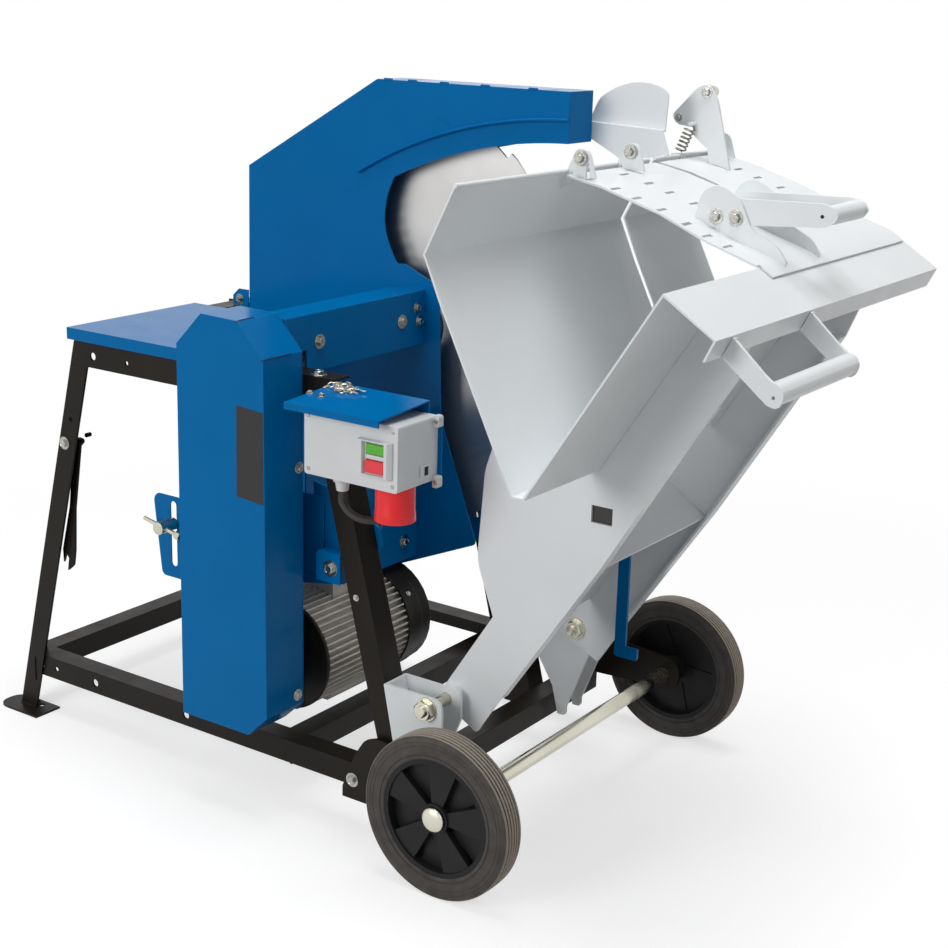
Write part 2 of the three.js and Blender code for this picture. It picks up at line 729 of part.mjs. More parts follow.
place('hood_near_plate', cut(join(slabY(hoodOutline, hoodNearY, hoodNearY + hoodSheet), arcRib),
  rodY(arborX, arborZ, arborRadius + angleWall, hoodNearY - overrun, hoodNearY + overrun)), bluePaint());

// Belt cover: a folded box open towards its back plate
const coverOutline = [
  [-516, 155], [-374, 155], [-334, 193], [-336, 770], [-387, 823], [-462, 825], [-514, 772],
];
const coverInner = besides([...coverOutline, coverOutline[0], coverOutline[1]], -coverSheet).slice(1, -1);
place('belt_cover', cut(slabY(coverOutline, coverFrontY, coverBackY),
  slabY(coverInner, coverFrontY + coverSheet, coverBackY + overrun)), bluePaint());
const backY = coverBackY + gap;
const earOutline = [
  [-500, earBottom], [-500, earTop], [earLeftX + 8, earTop, 10], [earLeftX, earTop - 10, 10],
  [earLeftX + 16, earBottom, 10],
];
const slotTool = join(
  box(slotX - slotRadius, slotX + slotRadius, backY - overrun, backY + overrun, slotBottom, slotTop),
  rodY(slotX, slotBottom, slotRadius, backY - overrun, backY + overrun, 16),
  rodY(slotX, slotTop, slotRadius, backY - overrun, backY + overrun, 16),
);
const backHole = (x, z, radius) => rodY(x, z, radius, backY - overrun, backY + overrun);
place('belt_back_plate', cut(join(
  slabY(coverOutline, backY, backY + backPlateWall), slabY(earOutline, backY, backY + backPlateWall),
), slotTool, backHole(arborX, arborZ, arborRadius + angleWall), backHole(motorX, motorZ, motorShaftRadius + angleWall),
), bluePaint());

// Pulleys and belt
const groove = pulleyRadius - beltThickness;
function pulley(x, z, shaftRadius) {
  const y0 = pulleyY - pulleyWidth / 2;
  const y1 = pulleyY + pulleyWidth / 2;
  const half = beltWidth / 2 + gap;
  const profile = [
    [shaftRadius + gap, y0], [pulleyRadius, y0], [pulleyRadius, pulleyY - half], [groove, pulleyY - half],
    [groove, pulleyY + half], [pulleyRadius, pulleyY + half], [pulleyRadius, y1], [shaftRadius + gap, y1],
    [shaftRadius + gap, y0],
  ];
  return turnedY(profile, x, z, 20);
}
place('driven_pulley', pulley(arborX, arborZ, arborRadius), steel());
const beltTilt = Math.atan2(arborX - motorX, arborZ - motorZ);
function beltLoop(radius) {
  return [
    ...arcPoints(arborX, arborZ, radius, -beltTilt, Math.PI - beltTilt, 14),
    ...arcPoints(motorX, motorZ, radius, Math.PI - beltTilt, 2 * Math.PI - beltTilt, 14),
  ];
}
place('v_belt', cut(slabY(beltLoop(pulleyRadius), pulleyY - beltWidth / 2, pulleyY + beltWidth / 2),
  slabY(beltLoop(groove + gap), pulleyY - beltWidth, pulleyY + beltWidth)), rubber());

// Clamp screw through the slot, with its tommy bar
const tommy = rodY(0, 0, tommyRadius, -tommyLength / 2, tommyLength / 2, 12)
  .add(rodY(0, 0, 2 * tommyRadius, -tommyLength / 2, -tommyLength / 2 + 3 * tommyRadius, 12))
  .rotate([0, 0, 90]).rotate([0, -tommyTilt * 180 / Math.PI, 0])
  .translate([slotX, screwHeadY + screwHeadRadius, screwZ]);
place('clamp_screw', join(
  rodY(slotX, screwZ, screwHeadRadius, screwHeadY, backY - gap, 20),
  rodY(slotX, screwZ, screwRadius, screwHeadY, motorStartY - motorPlateWall - 2 * gap, 16),
  tommy,
), zinc());

// Motor: finned housing on a plate that hangs from the leg
const motorPlateY = motorStartY - gap - motorPlateWall;
const plateReach = motorRadius + 5;
const motorPlateOutline = [
  [slotX - screwHeadRadius, screwZ - 2 * screwHeadRadius, 8], [motorX - plateReach, motorZ + plateReach],
  [motorX - plateReach, motorZ - plateReach * 0.9, 20], [motorX + plateReach, motorZ - plateReach * 0.9, 20],
  [motorX + plateReach, motorZ + plateReach * 1.4], [motorPivotX + 31, motorPivotZ - 22, 6],
  [motorPivotX + 31, motorPivotZ + 20, 6], [slotX - screwHeadRadius, screwZ + 2 * screwHeadRadius, 8],
];
const hangerY = nearPlane + legDepth + gap;
const legFlangeX = rightLegX(motorPivotZ + legDepth) + angleSize;
const hanger = slabY([
  [-353, 551], [-306, 544], [legFlangeX - angleWall, 500], [legFlangeX, 470], [motorPivotX + 18, 395, 8],
  [motorPivotX - 18, 395, 8],
], hangerY, motorPlateY + motorPlateWall / 2);
place('motor_plate', cut(join(slabY(motorPlateOutline, motorPlateY, motorPlateY + motorPlateWall), hanger),
  rodY(motorX, motorZ, motorShaftRadius + angleWall, motorPlateY - overrun, motorPlateY + 2 * overrun),
), bluePaint());
const finTurn = (2 * Math.PI) / finCount;
const finPoints = Array.from({ length: finCount }, (_, i) => {
  const spots = [[motorCore, -0.32], [motorRadius, -0.14], [motorRadius, 0.14], [motorCore, 0.32]];
  return spots.map(([radius, share]) => {
    const angle = finTurn * (i + share);
    return [motorX + radius * Math.cos(angle), motorZ + radius * Math.sin(angle)];
  });
}).flat();
const shieldEndY = motorStartY + motorShieldDepth;
const terminalY = (motorStartY + motorEndY) / 2;
const terminalZ = motorZ + motorCore;
place('motor_body', join(
  slabY(finPoints, shieldEndY - finWall, motorEndY),
  turnedY([
    [motorShaftRadius + gap, motorStartY], [motorRadius, motorStartY], [motorRadius, shieldEndY - 2 * finWall],
    [motorCore, shieldEndY], [motorShaftRadius + gap, shieldEndY], [motorShaftRadius + gap, motorStartY],
  ], motorX, motorZ, 32),
  box(motorX - terminalWidth / 2, motorX + terminalWidth / 2, terminalY - terminalDepth / 2,
    terminalY + terminalDepth / 2, terminalZ, terminalZ + terminalHeight),
), paint('#8c867c', 0.5, 0.6));
place('motor_pulley', join(
  pulley(motorX, motorZ, motorShaftRadius - 2 * gap),
  rodY(motorX, motorZ, motorShaftRadius, pulleyY - pulleyWidth, shieldEndY - overrun),
), steel());
const fanY = motorEndY + gap;
place('motor_fan_cover', turnedY([
  [0, fanY], [motorRadius - 3, fanY], [motorRadius + 1, fanY + fanCoverDepth * 0.1],
  [motorRadius + 1, fanY + fanCoverDepth * 0.7], [motorRadius * 0.9, fanY + fanCoverDepth * 0.94],
  [motorRadius * 0.7, fanY + fanCoverDepth], [0, fanY + fanCoverDepth],
], motorX, motorZ, 32), plastic('#26221f'));

// Switch box on its plate, with canopy, buttons, inlet, gland and motor cable
const boxPlateY = boxBackY + gap;
const ledgeZ = boxTop - 2;
const canopyLine = [
  [canopyFrontY, canopyFrontZ - 8], [canopyFrontY, canopyFrontZ], [boxPlateY + boxPlateWall, canopyBackZ],
];
const canopyBack = canopyBackZ + canopySheet / 2;
place('switch_plate', join(slabY([
  [boxPlateLeftX, boxBottom - 4], [boxPlateRightX, boxBottom - 4], [boxPlateRightX, ledgeZ],
  [canopyRightX, ledgeZ], [canopyRightX, canopyBack], [canopyLeftX, canopyBack],
  [canopyLeftX, legTop], [boxPlateLeftX, legTop - 6],
], boxPlateY, boxPlateY + boxPlateWall), slabX(folded(canopyLine, -canopySheet), canopyLeftX, canopyRightX)),
bluePaint());
const bezelMiddle = (bezelLeftX + bezelRightX) / 2;
const buttonDepth = 14;
const buttonHole = (z0, z1) => box(bezelMiddle - buttonWidth / 2 - gap, bezelMiddle + buttonWidth / 2 + gap,
  boxFrontY - overrun, boxFrontY + buttonDepth + buttonTravel, z0 - gap, z1 + gap);
const boxShell = slabY([
  [boxLeftX, boxBottom, boxEdge], [boxRightX, boxBottom, boxEdge], [boxRightX, boxTop, boxEdge],
  [boxLeftX, boxTop, boxEdge],
], boxFrontY, boxBackY, 4);
const bezel = box(bezelLeftX, bezelRightX, boxFrontY - bezelProud, boxFrontY + boxWall, bezelBottom, bezelTop);
const gland = turnedZ([
  [0, boxBottom + boxWall], [glandRadius, boxBottom + boxWall], [glandRadius, glandBottom + glandRadius],
  [glandRadius * 0.8, glandBottom + glandRadius], [cableRadius * 1.5, glandBottom], [0, glandBottom],
], glandX, glandY, 16);
place('switch_box', cut(join(boxShell, bezel, gland), buttonHole(startBottom, startTop),
  buttonHole(stopBottom, stopTop)), plastic('#d5d7d8'));
function button(z0, z1, proud) {
  return slabX([
    [boxFrontY - proud, z0 + 1, 2], [boxFrontY + buttonDepth - gap, z0], [boxFrontY + buttonDepth - gap, z1],
    [boxFrontY - proud, z1 - 1, 2],
  ], bezelMiddle - buttonWidth / 2, bezelMiddle + buttonWidth / 2, 3);
}
place('start_button', button(startBottom, startTop, bezelProud + 1), plastic('#5cb533'));
place('stop_button', button(stopBottom, stopTop, bezelProud + buttonTravel), plastic('#e8473f'));
const inletTop = boxBottom - gap;
const inletFlangeTop = inletBottom + (inletTop - inletBottom) * 0.75;
const inletCup = turnedZ([
  [0, inletTop], [inletRadius * 0.85, inletTop], [inletRadius * 0.85, inletFlangeTop],
  [inletFlangeRadius, inletFlangeTop], [inletFlangeRadius, inletFlangeTop - inletWall],
  [inletRadius, inletFlangeTop - inletWall], [inletRadius, inletBottom], [inletRadius - inletWall, inletBottom],
  [inletRadius - inletWall, inletFlangeTop - inletWall], [0, inletFlangeTop - inletWall],
], inletX, inletY);
const pins = Array.from({ length: 5 }, (_, i) => {
  const angle = (2 * Math.PI * i) / 5;
  const ring = inletRadius / 2;
  return rodZ(inletX + ring * Math.cos(angle), inletY + ring * Math.sin(angle), pinRadius,
    inletBottom + inletWall, inletFlangeTop, 6);
});
place('power_inlet', join(inletCup, ...pins), plastic('#f0282d'));
const cableRoute = [
  [glandX, glandY, glandBottom - gap], [glandX, glandY, 562], [-205, 56, 530], [-176, 72, 505], [-168, 100, 470],
  [-182, 140, 430], [-205, 175, 398], [-262, 225, 366], [-330, 262, 347], [-372, terminalY, 342],
  [motorX + terminalWidth / 2 + gap, terminalY, 342],
].map(([x, y, z]) => new THREE.Vector3(x, y, z));
const cableSection = new THREE.Shape(arcPoints(0, 0, cableRadius, 0, 2 * Math.PI, 8).slice(1)
  .map(([x, y]) => new THREE.Vector2(x, y)));
place('motor_cable', toSolid(new THREE.ExtrudeGeometry(cableSection, {
  steps: 26, bevelEnabled: false, extrudePath: new THREE.CatmullRomCurve3(cableRoute),
})), rubber());

// Pivot brackets: two plates joined by a top web, one on each right leg
function pivotBracket(edge, width, legY) {
  const front = legY - gap - bracketWall;
  const rear = legY + legDepth + gap;
  const right = (z) => edge(z) + width + gap;
  const tailRight = bracketTailX + bracketTailWidth;
  const tail = [
    [pivotX + pivotEarRadius, bracketTop, pivotEarRadius],
    [pivotX + pivotEarRadius, pivotZ - pivotEarRadius, pivotEarRadius],
    [tailRight, bracketBottom + bracketTailWidth, 8], [tailRight, bracketBottom, 8], [bracketTailX, bracketBottom],
  ];
  const besideRail = [rightCrossX + 2 * gap, crossTop + bracketTailWidth];
  const frontPlate = [[bracketFrontX, bracketTop], ...tail, besideRail];
  const lap = legDepth / 2;
  const rearPlate = [
    [right(bracketTop) - lap, bracketTop], ...tail, besideRail, [right(pivotZ) - lap, pivotZ - lap],
  ];
  const body = join(
    slabY(frontPlate, front, front + bracketWall),
    slabY(rearPlate, rear, rear + bracketWall),
    box(right(bracketTop) + bracketWall, pivotX - 15, front, rear + bracketWall, bracketTop - bracketWall, bracketTop),
  );
  return cut(body, rodY(pivotX, pivotZ, pivotRadius + gap, front - overrun, rear + 2 * overrun));
}
place('near_pivot_bracket', pivotBracket(rightLegX, angleSize, nearPlane), greyPaint());
place('far_pivot_bracket', pivotBracket(farLegX, farLegWidth, farLegPlane), greyPaint());
const boltHead = 8;
function pivotBolt(y0, y1) {
  return join(
    rodY(pivotX, pivotZ, pivotRadius, y0, y1, 20),
    rodY(pivotX, pivotZ, 2 * pivotRadius - 2, y0 - boltHead, y0, 6),
    rodY(pivotX, pivotZ, 2 * pivotRadius - 2, y1, y1 + boltHead, 6),
  );
}
const nearBracketFront = nearPlane - gap - bracketWall;
const farBracketRear = farLegPlane + legDepth + gap + bracketWall;
place('near_pivot_bolt', pivotBolt(nearBracketFront - gap, nearPlateY + plateWall + gap), zinc());
place('far_pivot_bolt', pivotBolt(farPlateY - gap, farBracketRear + gap), zinc());

// Rocker: trough sheet folded along this line, and two side plates under it
const troughLine = [
  [34, 1061], [-13, 968], [16, 904], [138, 662], [155, 662], [346, 960], [422, 912], [408, 883],
];
const underTrough = besides(troughLine, troughSheet + gap);
function bladeSweep(y0, y1) {
  const discs = Array.from({ length: slotSweepSteps + 1 }, (_, i) => {
    const angle = THREE.MathUtils.degToRad((rockRange * i) / slotSweepSteps);
    const [x, z] = [arborX - pivotX, arborZ - pivotZ];
    return rodY(pivotX + x * Math.cos(angle) + z * Math.sin(angle),
      pivotZ - x * Math.sin(angle) + z * Math.cos(angle), bladeRadius + bladeRun, y0, y1, 64);
  });
  return join(...discs);
}
const sweep = bladeSweep(bladeY - bladeSlot / 2, bladeY + bladeSlot / 2);

const wallTop = between(underTrough[2], underTrough[3], 0.2);
const plateRight = [[2, 265], [166, 512], [296, 727], [357, 824]];
const plateOutline = [
  underTrough[3], underTrough[4], underTrough[5], between(underTrough[5], underTrough[6], 0.7),
  ...plateRight.slice().reverse(), [-40, 198, 6], [pivotX + 12, 217, 10], [pivotX - 14, 226, 16],
  [pivotX - 22, pivotZ, 12], [-98, 268, 8], [-16, 396], [-48, 480, 20],
  [-38, 623, 10], wallTop,
];
const flangeLine = besides(plateRight.slice().reverse(), plateWall);
const flangeOutline = [...plateRight.slice().reverse(), ...flangeLine.slice().reverse()];
function sidePlate(y0, inward, bossFrom, bossTo) {
  const y1 = y0 + plateWall;
  const flange = inward > 0 ? [y0, y0 + edgeFlange] : [y1 - edgeFlange, y1];
  return cut(join(
    slabY(plateOutline, y0, y1), slabY(flangeOutline, ...flange),
    rodY(pivotX, pivotZ, pivotBossRadius, bossFrom, bossTo),
  ), rodY(pivotX, pivotZ, pivotRadius + gap, bossFrom - overrun, bossTo + overrun));
}
const nearBracketRear = nearPlane + legDepth + gap + bracketWall;
const farBracketFront = farLegPlane - gap - bracketWall;
const windowHole = box(147, 182, nearPlateY - overrun, nearPlateY + plateWall + overrun, 580, 606);
place('near_side_plate', cut(sidePlate(nearPlateY, 1, nearBracketRear + gap, nearPlateY + plateWall), windowHole,
  rodY(215, 584, smallHoleRadius, nearPlateY - overrun, nearPlateY + plateWall + overrun, 12)), greyPaint());
place('far_side_plate', sidePlate(farPlateY, -1, farPlateY, farBracketFront - gap), greyPaint());

// Webs between the side plates
const webStart = nearPlateY + plateWall + gap;
const webEnd = farPlateY - gap;
const webLine = [[-62, 312], [-10, 397], [-42, 484], [-32, 618], [148, 499]];
const lugWall = 4;
const lug = (y0) => slabY([
  [hookX - 12, hookPivotZ - 8, 8], [hookX + 12, hookPivotZ - 8, 8], [hookX + 12, 545], [hookX - 12, 560],
], y0, y0 + lugWall, 4);
const hookPin = rodY(hookX, hookPivotZ, hingePinRadius, hookY - gap - lugWall, hookY + hookWall + gap + lugWall, 16);
place('cradle_web', join(
  cut(slabY(folded(webLine, webWall), webStart, webEnd), sweep), lug(hookY - gap - lugWall),
  lug(hookY + hookWall + gap), hookPin,
), greyPaint());
place('transport_hook', cut(slabY([
  [hookX - hookWidth / 2, hookPivotZ + hookWidth / 2, 8], [hookX + hookWidth / 2, hookPivotZ + hookWidth / 2, 8],
  [hookX + hookWidth / 2, hookBottom + hookWidth], [hookX + 1.6 * hookWidth, hookBottom + hookWidth],
  [hookX + 1.6 * hookWidth, hookBottom, 6], [hookX - hookWidth / 2, hookBottom, 6],
], hookY, hookY + hookWall, 4), rodY(hookX, hookPivotZ, hingePinRadius + gap, hookY - overrun, hookY + 2 * overrun, 16)),
bluePaint());

// Lower push handle: two arms on the trough's lip and a tube between them
const lip = besides(troughLine, -gap);
const armEnd = [
  [lowerHandleX - 6, lowerHandleZ + handleRadius + 3, 12], [lowerHandleX + handleRadius + 4, lowerHandleZ + 6, 14],
  [lowerHandleX + 8, lowerHandleZ - handleRadius - 5, 14],
];
const armOutline = [lip[7], between(lip[7], lip[6], 0.92), ...armEnd, [lowerHandleX - 14, lowerHandleZ - 8, 8]];
place('push_handle', cut(join(
  slabY(armOutline, lowerArmNearY, lowerArmNearY + handleArmWall, 5),
  slabY(armOutline, lowerArmFarY, lowerArmFarY + handleArmWall, 5),
  rodY(lowerHandleX, lowerHandleZ, handleRadius, lowerArmNearY, lowerArmFarY + handleArmWall),
), rodY(lowerHandleX + 2, lowerHandleZ - 3, pinRadius, lowerArmNearY - overrun, lowerArmNearY + handleArmWall, 8)),
greyPaint());

// Log cover: bent in flats round the pivot, with slots, hinge ears and handle ears
const coverAngles = [81, 77, 70, 64.6];
function bend(degrees, radius) {
  const angle = THREE.MathUtils.degToRad(degrees);
  return [pivotX + radius * Math.cos(angle), pivotZ + radius * Math.sin(angle)];
}
const ledge = besides(troughLine, -2 * gap);
const ledgeEdge = ledge[5];
const coverLipEnd = between(ledgeEdge, ledge[6], 0.26);
const coverLine = [...coverAngles.map((angle) => bend(angle, coverRadius)), ledgeEdge, coverLipEnd];
const coverLipStartY = coverStartY + 8;
const coverSlotLength = 26;
const coverSlotWidth = 6;
function coverSlot(angle, y) {
  const [x, z] = bend(angle, coverRadius);
  return box(x - coverSlotWidth / 2, x + coverSlotWidth / 2, y, y + coverSlotLength, z - 4 * overrun, z + 4 * overrun);
}
const slotAngles = [79, 76, 73.5, 70.5, 67.5, 65, 62.5];
const slotRows = [236, 332, 620];
const coverSlots = slotRows.flatMap((y) => slotAngles.map((angle) => coverSlot(angle, y)));
const coverTop = besides(coverLine, -coverWall);
function hingeEar(y0) {
  const ring = hingeEarRadius;
  const root = coverTop[0];
  const plate = slabY([
    [hingeX - ring, hingeZ + ring, ring], [hingeX + ring, hingeZ + ring, ring],
    [hingeX + 2 * ring, root[1] - coverWall], [root[0] + 2, root[1] - coverWall / 2],
    [hingeX - ring, hingeZ - ring / 2],
  ], y0, y0 + hingeEarWall, 5);
  return cut(plate, rodY(hingeX, hingeZ, hingePinRadius + gap, y0 - overrun, y0 + 2 * overrun, 16));
}
const hingeEarYs = [coverStartY + 10, 380, coverEndY - 30];
const springSeatY = leverY - 2 * (springRadius + springWire);
const armHalf = 16;
function handleEar(y0) {
  const inSheet = besides(coverLine, -coverWall / 2);
  return slabY([
    between(inSheet[2], inSheet[3], 0.3), [224, 1046, 14], [250, 1060, 18], [284, 1042, 16], [302, 1003, 10],
    [346, 981, 10], [360, 961, 6], between(inSheet[4], inSheet[5], 0.5), inSheet[4], inSheet[3],
  ], y0, y0 + hingeEarWall, 4);
}
const notchForLip = box(ledgeEdge[0], coverLipEnd[0] + overrun, coverStartY - overrun, coverLipStartY,
  coverLipEnd[1] - overrun, ledgeEdge[1] + overrun);
place('log_cover', cut(join(
  slabY(folded(coverLine, -coverWall), coverStartY, coverEndY), ...hingeEarYs.map(hingeEar),
  handleEar(upperArmNearY - gap - hingeEarWall), handleEar(upperArmFarY + handleArmWall + gap),
), sweep, notchForLip, ...coverSlots), greyPaint());
const upperArm = [
  [230, 1018, 8], [240, 1018 + armHalf + 6, 10], [upperHandleX, upperHandleZ + armHalf, 14],
  [upperHandleX + armHalf + 3, upperHandleZ, 14], [upperHandleX, upperHandleZ - armHalf, 14], [240, 1018 - armHalf, 8],
];
place('cover_handle', join(
  slabY(upperArm, upperArmNearY, upperArmNearY + handleArmWall, 5),
  slabY(upperArm, upperArmFarY, upperArmFarY + handleArmWall, 5),
  rodY(upperHandleX, upperHandleZ, handleRadius - 2, upperArmNearY, upperArmFarY + handleArmWall),
), greyPaint());

// Hinge mounts on the trough's top flange, each with its pin
function hingeMount(y0) {
  const ring = hingeEarRadius;
  const side = y0 + hingeEarWall + gap;
  const foot = besides(troughLine, troughSheet / 2);
  const clear = coverLine[0][0] - 3 * gap;
  const plate = slabY([
    [hingeX - ring, hingeZ + ring, ring], [hingeX + ring, hingeZ + ring, ring], [hingeX + ring, hingeZ - ring, ring],
    [clear, hingeZ - 1.75 * ring], [clear, hingeZ - 3 * ring], between(foot[0], foot[1], 0.3), foot[0],
  ], side, side + hingeEarWall, 5);
  return join(plate, rodY(hingeX, hingeZ, hingePinRadius, y0 - hingeEarWall, side + hingeEarWall, 16));
}
const springSeat = box(springFootX - springRadius - springWire, springFootX + springRadius, springSeatY,
  leverY - springWire, troughLine[0][1] - springSeatWall, springFootZ - 3 * gap);
place('trough_sheet', join(
  cut(slabY(folded(troughLine, troughSheet), troughStartY, troughEndY), sweep), ...hingeEarYs.map(hingeMount),
  springSeat,
), greyPaint());

// Wing deflector on the trough, rear lever on the cover, and the coil spring between lever and trough
const wingUpper = [
  [-124, 1110], [-106, 1119], [-93, 1148, 14], [-57, 1168, 18], [-22, 1176, 20], [14, 1171, 16], [31, 1161, 8],
  [28, 1104],
];
const wingLower = [[-124, 1110], [-124, 1097, 4], [-104, 1084, 6], [-48, 1056], [30, 1062.6], [42, 1067], [28, 1104]];
const wingStep = [[-124, 1110], [-124, 1110 - wingWall], [28, 1104 - wingWall], [28, 1104]];
place('wing_deflector', join(
  slabY(wingUpper, wingY, wingY + wingWall),
  slabY(wingStep, wingLowerY, wingY + wingWall),
  slabY(wingLower, wingLowerY, wingLowerY + wingWall),
), greyPaint());
const leverFoot = besides(coverLine, -coverWall - gap);
place('rear_lever', join(
  slabY([
    [70, 1175, 14], [50, 1170, 10], [6, 1124, 8], [14, 1110, 8], [46, 1106], [44, 1096], [72, 1074],
    between(leverFoot[0], leverFoot[1], 0.6), leverFoot[1], between(leverFoot[1], leverFoot[2], 0.15),
    [85, 1151, 10],
  ], leverY, leverY + leverWall),
  rodY(springTopX, springTopZ, springPinRadius, leverY - 2 * springRadius - springWire, leverY + leverWall / 2, 12),
), greyPaint());

// Coil spring between the lever's pin and a seat on the trough's top flange
class Helix extends THREE.Curve {
  constructor(from, to) {
    super();
    this.from = from;
    this.along = to.clone().sub(from);
  }

  getPoint(share, target = new THREE.Vector3()) {
    const reach = this.along.length();
    const straight = (2 * springWire) / reach;
    const turn = Math.min(Math.max((share - straight) / (1 - 2 * straight), 0), 1) * springTurns * 2 * Math.PI;
    const axis = this.along.clone().normalize();
    const across = new THREE.Vector3(0, 1, 0);
    const side = axis.clone().cross(across);
    return target.copy(this.from).addScaledVector(this.along, share)
      .addScaledVector(across, springRadius * Math.cos(turn)).addScaledVector(side, springRadius * Math.sin(turn));
  }
}
const springY = leverY - springRadius - springWire;
const springFoot = new THREE.Vector3(springFootX, springY, springFootZ);
const springHead = new THREE.Vector3(springTopX, springY, springTopZ);
const springWay = springHead.clone().sub(springFoot).normalize();
springHead.addScaledVector(springWay, -springPinRadius - gap);
const springCurve = new Helix(springFoot, springHead);
const springSection = new THREE.Shape(arcPoints(0, 0, springWire, 0, 2 * Math.PI, 5).slice(1)
  .map(([x, y]) => new THREE.Vector2(x, y)));
const springSteps = springTurns * 8 + 2;
place('cover_spring', toSolid(new THREE.ExtrudeGeometry(springSection, {
  steps: springSteps, bevelEnabled: false, extrudePath: springCurve,
})), steel());
const springPitch = springHead.distanceTo(springFoot) / springTurns;
console.log('least gap between the turns of the spring, mm', (springPitch - 2 * springWire).toFixed(2));

// Leave the origin under the middle of the finished machine, on the floor
const bounds = new THREE.Box3().setFromObject(machine);
const middle = bounds.getCenter(new THREE.Vector3());
machine.position.set(-middle.x, -middle.y, -bounds.min.z);
machine.updateMatrixWorld(true);

export default machine;
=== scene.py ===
from math import acos, atan2, cos, pi, radians, sin, tan
import bmesh
import bpy
from mathutils import Matrix, Vector
from mathutils.bvhtree import BVHTree


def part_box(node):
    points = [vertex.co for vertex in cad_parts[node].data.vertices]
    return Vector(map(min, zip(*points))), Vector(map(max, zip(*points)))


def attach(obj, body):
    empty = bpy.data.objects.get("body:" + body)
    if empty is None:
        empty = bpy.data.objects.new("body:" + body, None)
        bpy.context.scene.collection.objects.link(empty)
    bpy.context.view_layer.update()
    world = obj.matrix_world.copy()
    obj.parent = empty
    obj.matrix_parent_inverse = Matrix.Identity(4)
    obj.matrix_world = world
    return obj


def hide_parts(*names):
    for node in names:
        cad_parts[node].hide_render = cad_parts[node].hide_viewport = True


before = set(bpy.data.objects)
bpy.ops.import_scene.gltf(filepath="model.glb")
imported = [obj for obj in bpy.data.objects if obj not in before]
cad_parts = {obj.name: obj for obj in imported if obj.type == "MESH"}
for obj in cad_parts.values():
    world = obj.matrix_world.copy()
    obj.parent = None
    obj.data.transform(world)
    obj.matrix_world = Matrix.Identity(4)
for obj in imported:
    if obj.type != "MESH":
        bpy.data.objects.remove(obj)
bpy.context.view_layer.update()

# Camera
# A long lens stands in front of the belt cover's side, a little above the trough. Places on the saw are
# given in millimetres from the wheel axle, the near wheel's outer face and the floor.
tyre_low, tyre_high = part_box("near_tyre")
axle_x = (tyre_low.x + tyre_high.x) / 2


def at(x, y, z):
    return Vector((axle_x + x / 1000, tyre_low.y + y / 1000, z / 1000))


def new_object(name, data):
    item = bpy.data.objects.new(name, data)
    bpy.context.collection.objects.link(item)
    return item


heading, tilt, lean = radians(34.43), radians(16.12), radians(1.607)
level_right = Vector((cos(heading), sin(heading), 0))
level_up = Vector((-sin(heading) * sin(tilt), cos(heading) * sin(tilt), cos(tilt)))
ahead = Vector((-sin(heading) * cos(tilt), cos(heading) * cos(tilt), -sin(tilt)))
camera_right = level_right * cos(lean) + level_up * sin(lean)
camera_up = level_up * cos(lean) - level_right * sin(lean)
lens = bpy.data.cameras.new("camera")
lens.lens, lens.sensor_width = 64.47, 36
camera = new_object("camera", lens)
camera.matrix_world = Matrix.Translation(at(1316.8, -1840.3, 1315.9)) @ Matrix(
    (camera_right, camera_up, -ahead)).transposed().to_4x4()
bpy.context.scene.camera = camera
bpy.context.scene.view_settings.view_transform = "Standard"

# Studio
# A wide pale floor lies under a white room. Soft lamps stand in front, overhead and to the right, and the
# camera and the reflections see the room plain white.
def add_node(tree, kind, values=None, **settings):
    """Values are numbers, sockets, or nodes, which stand for their first output."""
    node = tree.nodes.new(kind)
    for name, value in settings.items():
        setattr(node, name, value)
    for socket, value in (values or {}).items():
        value = value.outputs[0] if isinstance(value, bpy.types.Node) else value
        if isinstance(value, bpy.types.NodeSocket):
            tree.links.new(value, node.inputs[socket])
        else:
            node.inputs[socket].default_value = value
    return node


def seen_ray(tree):
    path = add_node(tree, "ShaderNodeLightPath")
    seen = add_node(tree, "ShaderNodeMath", {0: path.outputs["Is Camera Ray"],
                    1: path.outputs["Is Glossy Ray"]}, operation="MAXIMUM")
    return add_node(tree, "ShaderNodeMath", {0: seen, 1: path.outputs["Is Transmission Ray"]},
                    operation="MAXIMUM")


def new_finish(name, colour, roughness, metallic=0.0, gloss=0.4):
    finish = bpy.data.materials.new(name)
    finish.use_nodes = True
    skin = finish.node_tree.nodes["Principled BSDF"]
    skin.inputs["Base Color"].default_value = (*colour, 1)
    skin.inputs["Roughness"].default_value = roughness
    skin.inputs["Metallic"].default_value = metallic
    skin.inputs["Specular IOR Level"].default_value = gloss
    return finish, skin


room = bpy.data.worlds.new("room")
room.use_nodes = True
room_light = 0.31
room_glow = add_node(room.node_tree, "ShaderNodeMapRange", {
    "Value": seen_ray(room.node_tree), "To Min": room_light, "To Max": 1.0})
room.node_tree.links.new(room_glow.outputs[0], room.node_tree.nodes["Background"].inputs["Strength"])
room.node_tree.nodes["Background"].inputs["Color"].default_value = (1, 1, 1, 1)
bpy.context.scene.world = room

